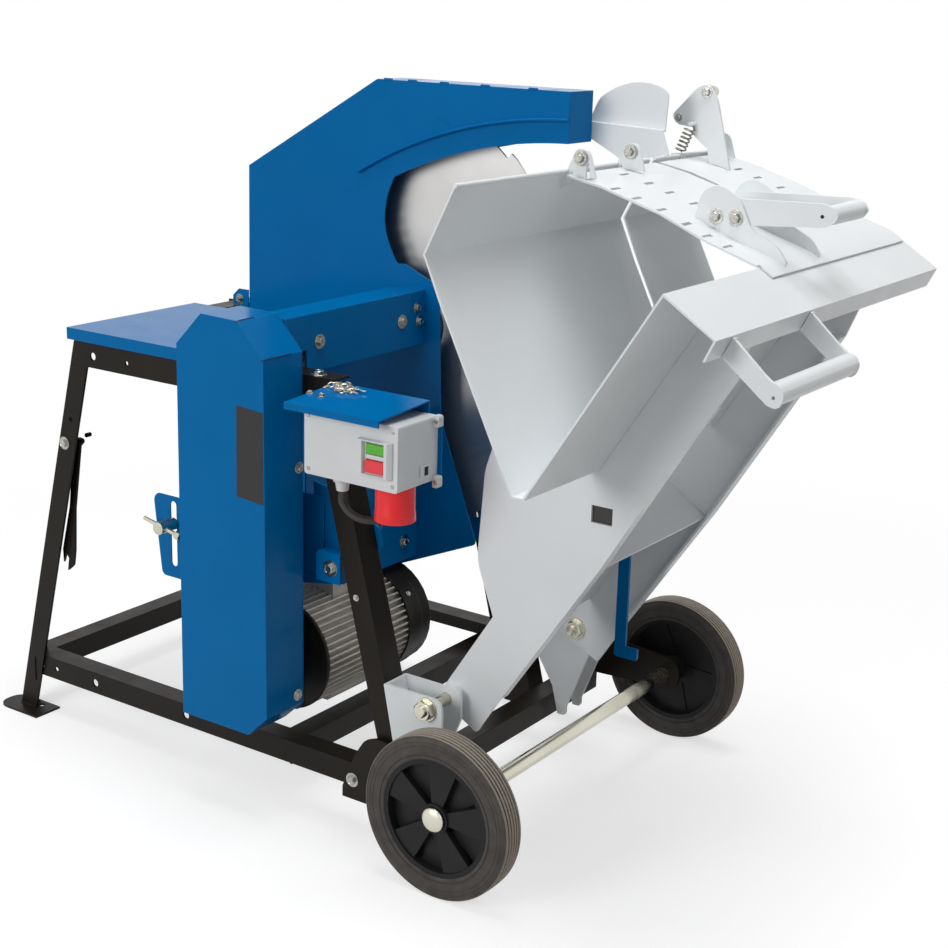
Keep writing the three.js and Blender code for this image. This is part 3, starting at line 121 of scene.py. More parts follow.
floor_finish, floor_skin = new_finish("pale_floor", (0.5, 0.5, 0.5), 1.0, gloss=0.0)
floor_skin.inputs["Emission Color"].default_value = (1, 1, 1, 1)
floor_tree = floor_finish.node_tree
floor_light, floor_reach, floor_drop = 0.62, 60, 0.0005
floor_glow = add_node(floor_tree, "ShaderNodeMath", {0: seen_ray(floor_tree), 1: floor_light},
                      operation="MULTIPLY")
floor_tree.links.new(floor_glow.outputs[0], floor_skin.inputs["Emission Strength"])
from_middle = add_node(floor_tree, "ShaderNodeVectorMath", {
    0: add_node(floor_tree, "ShaderNodeTexCoord").outputs["Object"]}, operation="LENGTH")
far_away = add_node(floor_tree, "ShaderNodeMapRange", {
    "Value": from_middle.outputs["Value"], "From Min": 0.8, "From Max": 2.4}, interpolation_type="SMOOTHSTEP")
far_seen = add_node(floor_tree, "ShaderNodeMath", {0: far_away, 1: seen_ray(floor_tree)}, operation="MULTIPLY")
white = add_node(floor_tree, "ShaderNodeEmission", {"Color": (1, 1, 1, 1), "Strength": 1.0})
floor_mix = add_node(floor_tree, "ShaderNodeMixShader", {0: far_seen, 1: floor_skin, 2: white})
floor_tree.links.new(floor_mix.outputs[0], floor_tree.nodes["Material Output"].inputs["Surface"])
floor_mesh = bpy.data.meshes.new("pale_floor")
floor_mesh.from_pydata([(x * floor_reach, y * floor_reach, -floor_drop)
                        for x, y in ((-1, -1), (1, -1), (1, 1), (-1, 1))], [], [(0, 1, 2, 3)])
floor_mesh.materials.append(floor_finish)
floor = new_object("pale_floor", floor_mesh)


def lamp(name, place, aim, width, power):
    light = bpy.data.lights.new(name, "AREA")
    light.shape, light.size, light.energy = "DISK", width, power
    holder = new_object(name, light)
    holder.location = place
    holder.rotation_euler = (Vector(aim) - Vector(place)).to_track_quat("-Z", "Y").to_euler()


lamp("lamp_right", (3.4, -1.2, 2.6), (0, 0, 0.6), 1.8, 10)
lamp("lamp_above", (0.5, 0.0, 4.3), (0.2, 0, 0.5), 2.4, 90)
lamp("lamp_front", (-0.9, -4.2, 2.0), (0, 0, 0.6), 2.2, 84)

# Blue sheet metal
# Table, hood, belt cover, brackets and canopy are folded from 2 to 4 mm steel sheet and powder coated a
# glossy blue, with the fine ripple of such a coat and slightly rounded cut edges.
def grain(finish, per_metre, detail, stretch=(1, 1, 1)):
    tree = finish.node_tree
    place = add_node(tree, "ShaderNodeTexCoord").outputs["Object"]
    if tuple(stretch) != (1, 1, 1):
        place = add_node(tree, "ShaderNodeMapping", {"Vector": place, "Scale": stretch})
    return add_node(tree, "ShaderNodeTexNoise", {"Vector": place, "Scale": per_metre, "Detail": detail})


def spread(finish, fac, low, high, start=0.3, end=0.7):
    return add_node(finish.node_tree, "ShaderNodeMapRange", {
        "Value": fac, "From Min": start, "From Max": end, "To Min": low, "To Max": high}).outputs[0]


def tint(finish, fac, first, second):
    mix = add_node(finish.node_tree, "ShaderNodeMix", {
        0: fac, 6: first if isinstance(first, bpy.types.NodeSocket) else (*first, 1), 7: (*second, 1)},
        data_type="RGBA")
    return mix.outputs[2]


def relief(finish, skin, height, depth):
    bump = add_node(finish.node_tree, "ShaderNodeBump", {"Height": height, "Distance": depth, "Strength": 1.0})
    finish.node_tree.links.new(bump.outputs[0], skin.inputs["Normal"])


def clouded(name, colour, roughness, shades, patches, sheen, ripple, depth, stretch=(1, 1, 1), **surface):
    """Shades are the darkest and lightest share. Patches, sheen and ripple open with a grain's scale and
    detail, and sheen ends with how far the roughness falls and rises."""
    finish, skin = new_finish(name, colour, roughness, **surface)
    links = finish.node_tree.links
    darker, lighter = ([min(1, c * shade) for c in colour] for shade in shades)
    links.new(tint(finish, spread(finish, grain(finish, *patches), 0, 1), darker, lighter),
              skin.inputs["Base Color"])
    smoother, rougher = sheen[2:]
    links.new(spread(finish, grain(finish, *sheen[:2]), roughness - smoother, roughness + rougher),
              skin.inputs["Roughness"])
    relief(finish, skin, grain(finish, *ripple, stretch), depth)
    return finish


def powder_coat(name, colour, roughness, ripple=420, depth=0.00003, cloud=0.07, gloss=0.4):
    return clouded(name, colour, roughness, (1 - cloud, 1 + cloud), (5, 6), (23, 8, 0.05, 0.09), (ripple, 2),
                   depth, gloss=gloss)


def new_tree(name, takes, gives="Geometry"):
    tree = bpy.data.node_groups.new(name, "GeometryNodeTree")
    for label, kind in takes:
        tree.interface.new_socket(label, in_out="INPUT", socket_type="NodeSocket" + kind)
    tree.interface.new_socket(gives, in_out="OUTPUT", socket_type="NodeSocketGeometry")
    return tree, tree.nodes.new("NodeGroupInput").outputs, tree.nodes.new("NodeGroupOutput").inputs


def apply_tree(piece, tree, values):
    nodes = piece.modifiers.new(tree.name, "NODES")
    nodes.node_group = tree
    sockets = {item.name: item.identifier for item in tree.interface.items_tree}
    for name, value in values.items():
        nodes[sockets[name]] = value


def smooth_tree():
    tree, given, result = new_tree("smooth_faces", (("Geometry", "Geometry"), ("Angle", "Float")))
    faces = add_node(tree, "GeometryNodeMergeByDistance", {"Geometry": given[0], "Distance": 0.00001})
    for label in ("custom_normal", "sharp_edge", "sharp_face"):
        faces = add_node(tree, "GeometryNodeRemoveAttribute", {"Geometry": faces, "Name": label})
    angle = add_node(tree, "GeometryNodeInputMeshEdgeAngle")
    sharp = add_node(tree, "FunctionNodeCompare", {0: angle, 1: given[1]}, operation="GREATER_THAN")
    whole = add_node(tree, "GeometryNodeSetShadeSmooth", {"Geometry": faces, "Shade Smooth": True},
                     domain="FACE")
    edged = add_node(tree, "GeometryNodeSetShadeSmooth", {"Geometry": whole, "Selection": sharp,
                     "Shade Smooth": False}, domain="EDGE")
    tree.links.new(edged.outputs[0], result[0])
    return tree


smooth_faces = smooth_tree()


def round_edges(piece, width, angle):
    bevel = piece.modifiers.new("rounded_edges", "BEVEL")
    bevel.width, bevel.segments = width, 2
    bevel.limit_method, bevel.angle_limit = "ANGLE", radians(angle)
    bevel.harden_normals = True


def dress(finish, *nodes, edge=0.0007, angle=27):
    for name in nodes:
        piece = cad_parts[name]
        for holder in piece.material_slots:
            holder.material = finish
        apply_tree(piece, smooth_faces, {"Angle": radians(angle)})
        if edge:
            flat = piece.modifiers.new("flat_faces", "DECIMATE")
            flat.decimate_type, flat.angle_limit = "DISSOLVE", radians(0.4)
            flat.delimit = {"SHARP"}
            round_edges(piece, edge, angle + 6)


blue_coat = powder_coat("blue_paint", (0.0, 0.14, 0.385), 0.15, depth=0.000015, cloud=0.04, gloss=0.06)
dress(blue_coat, "table_top", "arbor_beam", "hood_far_plate", "belt_cover",
      "belt_back_plate", "switch_plate", "transport_hook")

# Grey sheet metal
# The rocking trough, its web, handles, log cover, deflector and lever are 3 to 5 mm steel sheet and tube,
# welded and powder coated light grey. The coat is a little coarser than the blue one.
grey_coat = powder_coat("cradle_paint", (0.76, 0.785, 0.8), 0.34, ripple=600, cloud=0.025)
dress(grey_coat, "near_side_plate", "far_side_plate", "cradle_web",
      "push_handle", "log_cover", "cover_handle", "trough_sheet", "wing_deflector", "rear_lever")

# Dark stand
# Legs, rails and brackets are 40 to 60 mm angle iron and flat bar, welded and coated near black. The coat
# is satin and shows a fine grit, and it is a shade paler where dust lies in it.
stand_coat = powder_coat("frame_paint", (0.0115, 0.0085, 0.006), 0.36, ripple=1100, depth=0.00004,
                         cloud=0.25, gloss=0.14)
dress(stand_coat, "near_right_leg", "far_left_leg", "far_right_leg", "near_left_leg", "near_bottom_rail",
      "far_bottom_rail", "left_cross_rail", "middle_cross_rail", "right_cross_rail", "far_foot",
      "near_top_rail", "far_top_rail", "near_axle_bracket", "far_axle_bracket", "hanging_bar")

# Zinc-plated axle and clamp screw
# Turned steel with a yellowish passivated zinc plate: a metal that is cloudy from place to place, drawn
# lengthwise in fine lines, and rougher where it has been handled.
def plated(name, colour, roughness, cloud, lines, depth, stretch=(1, 1, 1)):
    return clouded(name, colour, roughness, (0.86, 1.18), (cloud, 5), (cloud * 4, 6, 0.08, 0.14), (lines, 3),
                   depth, stretch, metallic=1.0)


zinc_plate = plated("zinc", (0.6, 0.585, 0.49), 0.22, 6, 200, 0.000008, (3, 0.15, 3))
dress(zinc_plate, "wheel_axle", "clamp_screw", edge=0.0005)

# Saw blade, arbor and bare steel
# The blade is ground sheet steel, 4 mm thick, with the fine rings that grinding leaves round its middle.
# Bearings, pulleys, shaft and flange are turned or cast steel, left bare and lightly oiled.
bare_steel = plated("steel", (0.578, 0.604, 0.624), 0.34, 22, 420, 0.00002)
dress(bare_steel, "near_bearing", "far_bearing", "arbor_shaft", "blade_flange", "driven_pulley",
      "motor_pulley", edge=0.0006)
dress(plated("spring_steel", (0.2, 0.19, 0.17), 0.3, 90, 700, 0.00001), "cover_spring", edge=0)
blade_steel, blade_skin = new_finish("blade_steel", (0.72, 0.74, 0.76), 0.3, 1.0)
blade_tree = blade_steel.node_tree
blade_low, blade_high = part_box("saw_blade")
blade_middle = (blade_low + blade_high) / 2
from_arbor = add_node(blade_tree, "ShaderNodeMapping", {
    "Vector": add_node(blade_tree, "ShaderNodeTexCoord").outputs["Object"], "Location": -blade_middle})
grinding = add_node(blade_tree, "ShaderNodeTexWave", {
    "Vector": from_arbor, "Scale": 14, "Distortion": 0.4, "Detail": 2, "Detail Scale": 2},
    wave_type="RINGS", rings_direction="Y")
blade_tree.links.new(spread(blade_steel, grinding.outputs["Fac"], 0.36, 0.4, 0, 1),
                     blade_skin.inputs["Roughness"])
blade_tree.links.new(tint(blade_steel, spread(blade_steel, grain(blade_steel, 9, 6), 0, 1),
                     (0.5, 0.49, 0.475), (0.58, 0.57, 0.555)), blade_skin.inputs["Base Color"])
dress(blade_steel, "saw_blade", edge=0, angle=20)

# Tyres
# Solid black rubber, moulded with six ribs round the tread, a rounded shoulder and three rings on each side
# wall. The ribs' crowns are painted pale tan all round, partly dust on them and partly a painted highlight of
# the light on the tread. Each tyre is pressed over the edge of its rim.
def bridge(mesh, rings, closed=False, ends=False):
    for first, second in zip(rings, rings[1:] + (rings[:1] if closed else [])):
        for i in range(len(first)):
            mesh.faces.new((first[i - 1], first[i], second[i], second[i - 1]))
    if ends:
        mesh.faces.new(rings[0])
        mesh.faces.new(rings[-1])


def from_bmesh(name, mesh):
    data = bpy.data.meshes.new(name)
    mesh.to_mesh(data)
    mesh.free()
    return new_object(name, data)


def as_piece(name, mesh, merge=0.00001):
    bmesh.ops.remove_doubles(mesh, verts=mesh.verts, dist=merge)
    loose = [f for f in mesh.faces if f.calc_area() < 1e-12]
    bmesh.ops.delete(mesh, geom=loose, context="FACES_ONLY")
    bmesh.ops.recalc_face_normals(mesh, faces=mesh.faces)
    return from_bmesh(name, mesh)


def circle(sides):
    return [2 * pi * step / sides for step in range(sides)]


def polar(radius, turn):
    return Vector((radius * cos(turn), radius * sin(turn)))


def turned(name, profile, middle, sides, axis="Y", closed=False):
    mesh = bmesh.new()
    rings = []
    for radius, along in profile:
        rings.append([])
        for turn in circle(sides):
            a, b = polar(radius, turn)
            spot = Vector((a, along, b) if axis == "Y" else (a, b, along)) / 1000
            rings[-1].append(mesh.verts.new(Vector(middle) + spot))
    bridge(mesh, rings, closed, ends=not closed)
    return as_piece(name, mesh)


def shade(data, angle):
    for face in data.polygons:
        face.use_smooth = True
    data.set_sharp_from_angle(angle=radians(angle))


def complete(piece, finish, body="stand", angle=30, edge=None):
    piece.data.materials.clear()
    piece.data.materials.append(finish)
    if edge:
        round_edges(piece, edge, angle + 4)
    shade(piece.data, angle)
    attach(piece, body)


tyre_radius, tyre_width, bead_radius = 130.0, 42.0, 93.4
rib_foot, rib_crown = 0.1275, 0.1294
tyre_rubber, tyre_skin = new_finish("tyre_rubber", (0.042, 0.034, 0.027), 0.8)
tyre_links = tyre_rubber.node_tree.links
tyre_dust = spread(tyre_rubber, grain(tyre_rubber, 16, 8), 0, 1, 0.35, 0.7)
axle_place = add_node(tyre_rubber.node_tree, "ShaderNodeMapping", {
    "Vector": add_node(tyre_rubber.node_tree, "ShaderNodeTexCoord").outputs["Object"],
    "Location": (-axle_x, 0, -tyre_radius / 1000), "Scale": (1, 0, 1)})
from_axle = add_node(tyre_rubber.node_tree, "ShaderNodeVectorMath", {0: axle_place}, operation="LENGTH")
# Painted highlight and dust: beyond the ribs' foot the tread turns pale tan all round the tyre.
rib_dust_and_highlight = spread(tyre_rubber, from_axle.outputs["Value"], 0, 1, rib_foot, rib_crown)
tyre_side = tint(tyre_rubber, tyre_dust, (0.043, 0.038, 0.035), (0.06, 0.052, 0.046))
tyre_links.new(tint(tyre_rubber, rib_dust_and_highlight, tyre_side, (0.33, 0.29, 0.24)), tyre_skin.inputs["Base Color"])
tyre_links.new(spread(tyre_rubber, grain(tyre_rubber, 60, 4), 0.55, 0.85), tyre_skin.inputs["Roughness"])
relief(tyre_rubber, tyre_skin, grain(tyre_rubber, 1100, 2), 0.00005)


def tyre_profile():
    ribs, groove, depth, shoulder = 6, 2.2, 3.4, 6.0
    half = tyre_width / 2
    side = [(radius, inward - half) for radius, inward in (
        (bead_radius, 3.4), (bead_radius, 1.2), (bead_radius + 1.4, 0.2), (98.4, 0.1), (99, 1.3), (100.6, 1.3),
        (101.2, 0.1), (112.6, 0.1), (113.1, 0.8), (113.9, 0.8), (114.4, 0.2), (118.6, 0.4), (119.1, 1.1),
        (119.9, 1.2), (120.4, 0.7), (123.6, 1.6), (126.3, 3.2))]
    tread_half = half - shoulder + 3.2
    rib_width = (2 * tread_half - (ribs - 1) * groove) / ribs
    tread, along = [], -tread_half
    for rib in range(ribs):
        crown = tyre_radius - 0.9 * abs((along + rib_width / 2) / tread_half) ** 2
        tread += [(crown - 0.5, along), (crown, along + 0.8), (crown, along + rib_width - 0.8),
                  (crown - 0.5, along + rib_width)]
        along += rib_width
        if rib < ribs - 1:
            tread += [(tyre_radius - depth, along + 0.3), (tyre_radius - depth, along + groove - 0.3)]
            along += groove
    near = side + [(128.3, -tread_half)]
    return near + tread + [(radius, -level) for radius, level in reversed(near)]


for wheel in ("near", "far"):
    low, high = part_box(wheel + "_tyre")
    tyre = turned(wheel + "_ribbed_tyre", tyre_profile(), (low + high) / 2, 120, closed=True)
    complete(tyre, tyre_rubber, wheel + "_wheel", angle=40)
    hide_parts(wheel + "_tyre")

# Wheel rims
# Black moulded plastic with five wedge-shaped webs in front of a closed floor, and a domed zinc cap pressed on
# each end of the axle. The moulding has a fine grain and is scuffed shinier on the webs' faces.
def moulded(name, colour, roughness, grit=1500, depth=0.00003, cloud=0.12, size=18, gloss=0.4):
    return clouded(name, colour, roughness, (1 - cloud, 1 + cloud), (size, 6), (size * 3, 6, 0.07, 0.1),
                   (grit, 2), depth, gloss=gloss)


def joined(name, pieces):
    mesh = bmesh.new()
    for piece in pieces:
        mesh.from_mesh(piece.data)
        bpy.data.objects.remove(piece)
    return from_bmesh(name, mesh)


rim_plastic = moulded("rim_plastic", (0.0135, 0.0133, 0.0138), 0.38, cloud=0.2, gloss=0.16)
dress(rim_plastic, "near_wheel_rim", "far_wheel_rim", edge=0.0009)
wedge = ((20, -9.5), (82.5, -25.5), (85.5, -13), (86.5, 0), (85.5, 13), (82.5, 25.5), (20, 9.5))
wedge_top, wedge_foot, first_wedge = 4, 16.8, 82.8
floor_ring = ((23, 19), (86.5, 19), (86.5, 23), (23, 23))
for wheel, way in (("near", 1), ("far", -1)):
    low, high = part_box(wheel + "_tyre")
    middle = Vector(((low.x + high.x) / 2, low.y if wheel == "near" else high.y, (low.z + high.z) / 2))
    webs = []
    for step in range(5):
        web = bmesh.new()
        aim = Matrix.Rotation(-radians(first_wedge + 72 * step), 3, "Y")
        bridge(web, [[web.verts.new(middle + aim @ Vector((along, way * level, side)) / 1000)
                      for along, side in wedge] for level in (wedge_top, wedge_foot)], ends=True)
        webs.append(as_piece("rim_web", web))
    webs.append(turned("rim_floor", [(radius, way * level) for radius, level in floor_ring], middle, 60,
                       closed=True))
    complete(joined(wheel + "_rim_webs", webs), rim_plastic, wheel + "_wheel", edge=0.0009)
axle_low, axle_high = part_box("wheel_axle")
dome = ((19.5, 7.2), (19.5, 5.8), (18.4, 3.8), (15, 1.7), (9.5, 0.45), (4, 0.05))
caps = [turned("hub_cap", [(radius, way * along) for radius, along in dome],
               ((axle_low.x + axle_high.x) / 2, end, (axle_low.z + axle_high.z) / 2), 40)
        for end, way in ((axle_low.y, 1), (axle_high.y, -1))]
complete(joined("hub_caps", caps), zinc_plate)

# Belt and fan cover
# The V-belt is dull black rubber. The cover over the motor's fan is moulded black plastic with a fine grain,
# and the same plastic serves for other small black pieces.
dress(moulded("belt_rubber", (0.03, 0.03, 0.03), 0.7, 700, 0.00008), "v_belt", edge=0)
fan_plastic = moulded("fan_plastic", (0.012, 0.0105, 0.009), 0.42, cloud=0.3, gloss=0.2)
dress(fan_plastic, "motor_fan_cover")

# Switch box
# A light grey moulded box with two coloured keys in front and a red plug inlet below, which is a round cup
# with five pins. Ears, key frame, screws and gland nut follow among its details.
box_plastic = moulded("box_plastic", (0.665, 0.679, 0.687), 0.42, 1800, 0.00002, 0.03)
dress(box_plastic, "switch_box")
dress(moulded("green_plastic", (0.107, 0.462, 0.033), 0.3, 900, 0.00001, 0.06), "start_button", edge=0.0009)
dress(moulded("red_plastic", (0.807, 0.05, 0.064), 0.3, 900, 0.00001, 0.06), "stop_button", edge=0.0009)
inlet_plastic = moulded("inlet_plastic", (0.871, 0.021, 0.026), 0.34, 900, 0.00002, 0.05)
inlet_middle, pin_circle = Vector((-117, 50)), 16
inlet_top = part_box("power_inlet")[1].z * 1000 - 0.1
inlet_parts = [turned("inlet_cup", [(29.6, inlet_top), (29.6, 575), (30.2, 573), (31, 559), (30.4, 557.6),
                                    (27.4, 557.6), (27, 576)], at(*inlet_middle, 0), 56, axis="Z")]
pins = [at(*(inlet_middle + polar(pin_circle, turn)), 0) for turn in circle(5)]
inlet_parts += [turned("inlet_pin", [(2.6, 577), (2.6, 562), (1.8, 561)], pin, 14, axis="Z") for pin in pins]
inlet = joined("inlet_socket", inlet_parts)
complete(inlet, inlet_plastic, edge=0.0005)
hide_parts("power_inlet")

# Motor cable
# A black 12 mm rubber lead leaves the white gland under the switch box, turns back behind the inlet and the
# right leg and runs down into the motor. It is held at both ends and hangs in one easy curve between them.
cable_rubber = moulded("cable_rubber", (0.032, 0.028, 0.025), 0.5, 1200, 0.00003, 0.2)
cable_stops = [
    (-216, 50, 583.7), (-216, 50, 566), (-205, 54, 550), (-187, 62, 541), (-168, 78, 540), (-158, 104, 543),
    (-168, 133, 541), (-207, 160, 525), (-254, 191, 488), (-297, 226, 438), (-333, 254, 394), (-358, 273, 361),
    (-374, 280.1, 346), (-386.7, 280.1, 342),
]
cable_diameter = 12.0


def eased(stops, steps):
    spots = [Vector(s) for s in stops]
    spots = [spots[0] * 2 - spots[1]] + spots + [spots[-1] * 2 - spots[-2]]
    line = []
    for a, b, c, d in zip(spots, spots[1:], spots[2:], spots[3:]):
        for step in range(steps):
            t = step / steps
            line.append(0.5 * ((2 * b) + (c - a) * t + (2 * a - 5 * b + 4 * c - d) * t * t
                               + (3 * b - a - 3 * c + d) * t ** 3))
    return line + [spots[-2]]


def tube(name, line, radius, sides=16):
    mesh = bmesh.new()
    rings = []
    side = (line[1] - line[0]).normalized().orthogonal().normalized()
    for index, spot in enumerate(line):
        along = (line[min(index + 1, len(line) - 1)] - line[max(index - 1, 0)]).normalized()
        side = (side - along * side.dot(along)).normalized()
        other = along.cross(side)
        rings.append([mesh.verts.new(spot + (side * cos(turn) + other * sin(turn)) * radius)
                      for turn in circle(sides)])
    bridge(mesh, rings, ends=True)
    return as_piece(name, mesh)


cable_line = eased([at(*stop) for stop in cable_stops], 6)
cable = tube("motor_lead", cable_line, cable_diameter / 2000)
complete(cable, cable_rubber)
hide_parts("motor_cable")

# Bolts, nuts and screws
# Zinc-plated hexagon bolts on washers hold the sheet parts to each other and to the stand. Each head is seated
# on the part that carries it, and one tree of nodes sets all the heads of a body.
FACING = {"+X": Vector((1, 0, 0)), "-X": Vector((-1, 0, 0)), "+Y": Vector((0, 1, 0)), "-Y": Vector((0, -1, 0)),
          "+Z": Vector((0, 0, 1))}
surfaces = {}
bolt_zinc = plated("bolt_zinc", (0.4, 0.4, 0.375), 0.2, 60, 500, 0.000004)


def seat(node, spot, facing):
    if node not in surfaces:
        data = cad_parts[node].data
        surfaces[node] = BVHTree.FromPolygons([v.co for v in data.vertices],
                                              [p.vertices for p in data.polygons])
    above, search = 0.03, 0.07
    found = surfaces[node].ray_cast(spot + facing * above, -facing, search)[0]
    if found is None:
        raise ValueError("no seat on " + node + " at " + str(tuple(spot)))
    return found


def hexagon_bolt(name, across=13.0, head=5.3, washer=1.35, washer_width=1.85, thread=0.0):
    mesh = bmesh.new()
    half, top, disc = across / 2, washer + head, across * washer_width / 2

    def ring(width, height):
        spots = []
        for turn in circle(36):
            reach = width(turn) if callable(width) else width
            level = height(reach) if callable(height) else height
            spots.append(mesh.verts.new(Vector((*polar(reach, turn), level)) / 1000))
        return spots

    def hexagon(turn):
        return half / cos((turn + pi / 6) % (pi / 3) - pi / 6)

    rings = [ring(disc, 0), ring(disc, washer - 0.25), ring(disc - 0.25, washer), ring(half * 1.16, washer),
             ring(hexagon, washer), ring(hexagon, lambda reach: top - 0.4 - (reach - half * 0.94) * 0.55),
             ring(half * 0.93, top)]
    if thread:
        rings += [ring(across * 0.31, top), ring(across * 0.31, top + thread - 0.6),
                  ring(across * 0.25, top + thread)]
    else:
        rings += [ring(half * 0.74, top), ring(half * 0.66, top - 0.35)]
    bridge(mesh, rings, ends=True)
    head_piece = as_piece(name, mesh, merge=0.000001)
    shade(head_piece.data, 28)
    return head_piece


def copies_tree(tree, result, points, shape, finish, along, axis, twist_axis, twist, **more):
    laid = add_node(tree, "FunctionNodeAlignRotationToVector", {"Vector": along}, axis=axis)
    turn = add_node(tree, "FunctionNodeAxisAngleToRotation", {"Axis": twist_axis, "Angle": twist})
    turned_copy = add_node(tree, "FunctionNodeRotateRotation", {0: laid, 1: turn}, rotation_space="LOCAL")
    pattern = add_node(tree, "GeometryNodeObjectInfo", {"Object": shape}, transform_space="ORIGINAL")
    placed = add_node(tree, "GeometryNodeInstanceOnPoints", {
        "Points": points, "Instance": pattern.outputs["Geometry"], "Rotation": turned_copy, **more})
    solid = add_node(tree, "GeometryNodeRealizeInstances", {"Geometry": placed})
    done = add_node(tree, "GeometryNodeSetMaterial", {"Geometry": solid, "Material": finish})
    tree.links.new(done.outputs[0], result[0])
    return tree


def made_by(tree, name, data, values):
    guide = new_object(name + "_guide", data)
    apply_tree(guide, tree, values)
    made = bpy.data.meshes.new_from_object(guide.evaluated_get(bpy.context.evaluated_depsgraph_get()))
    bpy.data.objects.remove(guide)
    return new_object(name, made)


HEAD_VALUES = (("facing", "FLOAT_VECTOR"), ("size", "FLOAT"), ("spin", "FLOAT"))


def heads_tree():
    tree, given, result = new_tree("heads_on_seats", (("Seats", "Geometry"), ("Head", "Object"),
                                                      ("Finish", "Material")), "Heads")
    facing, size, spin = (add_node(tree, "GeometryNodeInputNamedAttribute", {"Name": label},
                                   data_type=kind) for label, kind in HEAD_VALUES)
    return copies_tree(tree, result, *given[:3], facing, "Z", (0, 0, 1), spin, Scale=size)


heads_on_seats = heads_tree()


def set_heads(name, head, body, rows):
    """Rows of (node, spot, facing, size): a head on the surface of that node, nearest to the spot."""
    data = bpy.data.meshes.new(name)
    data.from_pydata([seat(node, at(*spot), FACING[way]) for node, spot, way, _ in rows], [], [])
    for label, kind in HEAD_VALUES:
        data.attributes.new(label, kind, "POINT")
    for index, (_, _, way, size) in enumerate(rows):
        data.attributes["facing"].data[index].vector = FACING[way]
        data.attributes["size"].data[index].value = size
        data.attributes["spin"].data[index].value = 0.7 * index
    piece = made_by(heads_on_seats, name, data, {"Head": head, "Finish": bolt_zinc})
    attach(piece, body)


def copies(name, pattern, places):
    made = []
    for place in places:
        made.append(bpy.data.objects.new(name, pattern.data.copy()))
        made[-1].data.transform(place)
    return made


bolt = hexagon_bolt("bolt_pattern")
nut = hexagon_bolt("nut_pattern", head=6.2, thread=3.5)
set_heads("stand_bolts", bolt, "stand", [
    ("arbor_beam", (-370, 180.6, 768.4), "+X", 1.0), ("arbor_beam", (-370, 394.7, 769.1), "+X", 1.0),
    ("arbor_beam", (-370, 436.3, 787.5), "+X", 0.8), ("arbor_beam", (-370, 443.5, 763.2), "+X", 0.85),
    ("near_top_rail", (-314.8, 113, 734.7), "+Z", 1.05),
    ("switch_plate", (-265.7, 34, 727.7), "+Z", 0.55), ("switch_plate", (-241.9, 31, 727.8), "+Z", 0.62),
    ("near_left_leg", (-876.2, 100, 530.2), "-Y", 0.95), ("near_right_leg", (-228.4, 100, 395.6), "-Y", 0.45),
    ("belt_cover", (-335.4, 90, 587.9), "+X", 0.8), ("belt_cover", (-334.1, 84, 210), "+X", 0.8),
    ("near_axle_bracket", (-223.5, 88.4, 92), "-Y", 1.0),
])
set_heads("stand_nuts", nut, "stand", [
    ("arbor_beam", (-430, 180.6, 768.4), "-X", 1.0), ("arbor_beam", (-430, 394.7, 769.1), "-X", 1.0),
])
set_heads("rocker_bolts", bolt, "rocker", [
    ("trough_sheet", (60, 236, 1083), "-Y", 0.85), ("trough_sheet", (60, 376, 1083), "-Y", 0.85),
])
set_heads("rocker_nuts", nut, "rocker", [
    ("trough_sheet", (60, 683.3, 1083), "+Y", 0.85),
])
set_heads("cover_bolts", bolt, "cover", [
    ("log_cover", (248.5, 292.7, 1014.7), "-Y", 0.95), ("log_cover", (279.2, 292.7, 1014.5), "-Y", 0.95),
    ("rear_lever", (65.3, 600, 1162), "-Y", 0.8), ("rear_lever", (18.7, 600, 1120), "-Y", 0.5),
])
set_heads("cover_nuts", nut, "cover", [
    ("log_cover", (248.5, 407.3, 1014.7), "+Y", 0.8), ("log_cover", (279.2, 407.3, 1014.5), "+Y", 0.8),
    ("rear_lever", (65.3, 605, 1162), "+Y", 0.95),
])
for pattern in (bolt, nut):
    bpy.data.objects.remove(pattern)

# Hood's near plate
# A 2 mm blue sheet with one smooth cut-out for the rocking trough. A bent strip is welded along the cut-out,
# an arrow pressed into the sheet shows which way the blade turns, and five tabs stand on its top edge.
def plate(name, outline, start, end, across="Y"):
    mesh = bmesh.new()
    bridge(mesh, [[mesh.verts.new(at(*{"X": (level, a, b), "Y": (a, level, b), "Z": (a, b, level)}[across]))
                   for a, b in outline] for level in (start, end)], ends=True)
    return as_piece(name, mesh)


def round_plate(middle, radius, sides=24):
    return [Vector(middle) + polar(radius, turn) for turn in circle(sides)]


def rounded(points, steps=8):
    """Points of (a, b) stay sharp, and those of (a, b, radius) are rounded."""
    line = []
    for index, point in enumerate(points):
        here = Vector(point[:2])
        if len(point) < 3:
            line.append(tuple(here))
            continue
        before = Vector(points[index - 1][:2]) - here
        after = Vector(points[(index + 1) % len(points)][:2]) - here
        half = before.angle(after) / 2
        reach = min(point[2] / tan(half), before.length * 0.49, after.length * 0.49)
        first, last = here + before.normalized() * reach, here + after.normalized() * reach
        for step in range(steps + 1):
            t = step / steps
            line.append(tuple(first * (1 - t) ** 2 + here * 2 * t * (1 - t) + last * t * t))
    return line


def sheet(name, outline, holes, start, end):
    mesh = bmesh.new()
    walls = []
    for level in (start, end):
        edges = []
        for line in [outline] + holes:
            ring = [mesh.verts.new(at(x, level, z)) for x, z in line]
            walls.append(ring)
            edges += [mesh.edges.new((ring[i - 1], ring[i])) for i in range(len(ring))]
        bmesh.ops.triangle_fill(mesh, edges=edges, use_beauty=True, use_dissolve=False, normal=(0, 1, 0))
    half = len(walls) // 2
    for pair in zip(walls[:half], walls[half:]):
        bridge(mesh, list(pair))
    return as_piece(name, mesh)


pivot, cut_radius, fold_radius = Vector((-85, 250)), 828, 868
hood_front, throat_top, fold_rear = -98, -439, -514
hood_near, hood_inside, hood_hole = 458, 460, 19


def arc_at_pivot(radius, front, rear, steps):
    start, end = (acos((x - pivot.x) / radius) for x in (front, rear))
    return [pivot + polar(radius, start + (end - start) * i / steps) for i in range(steps + 1)]


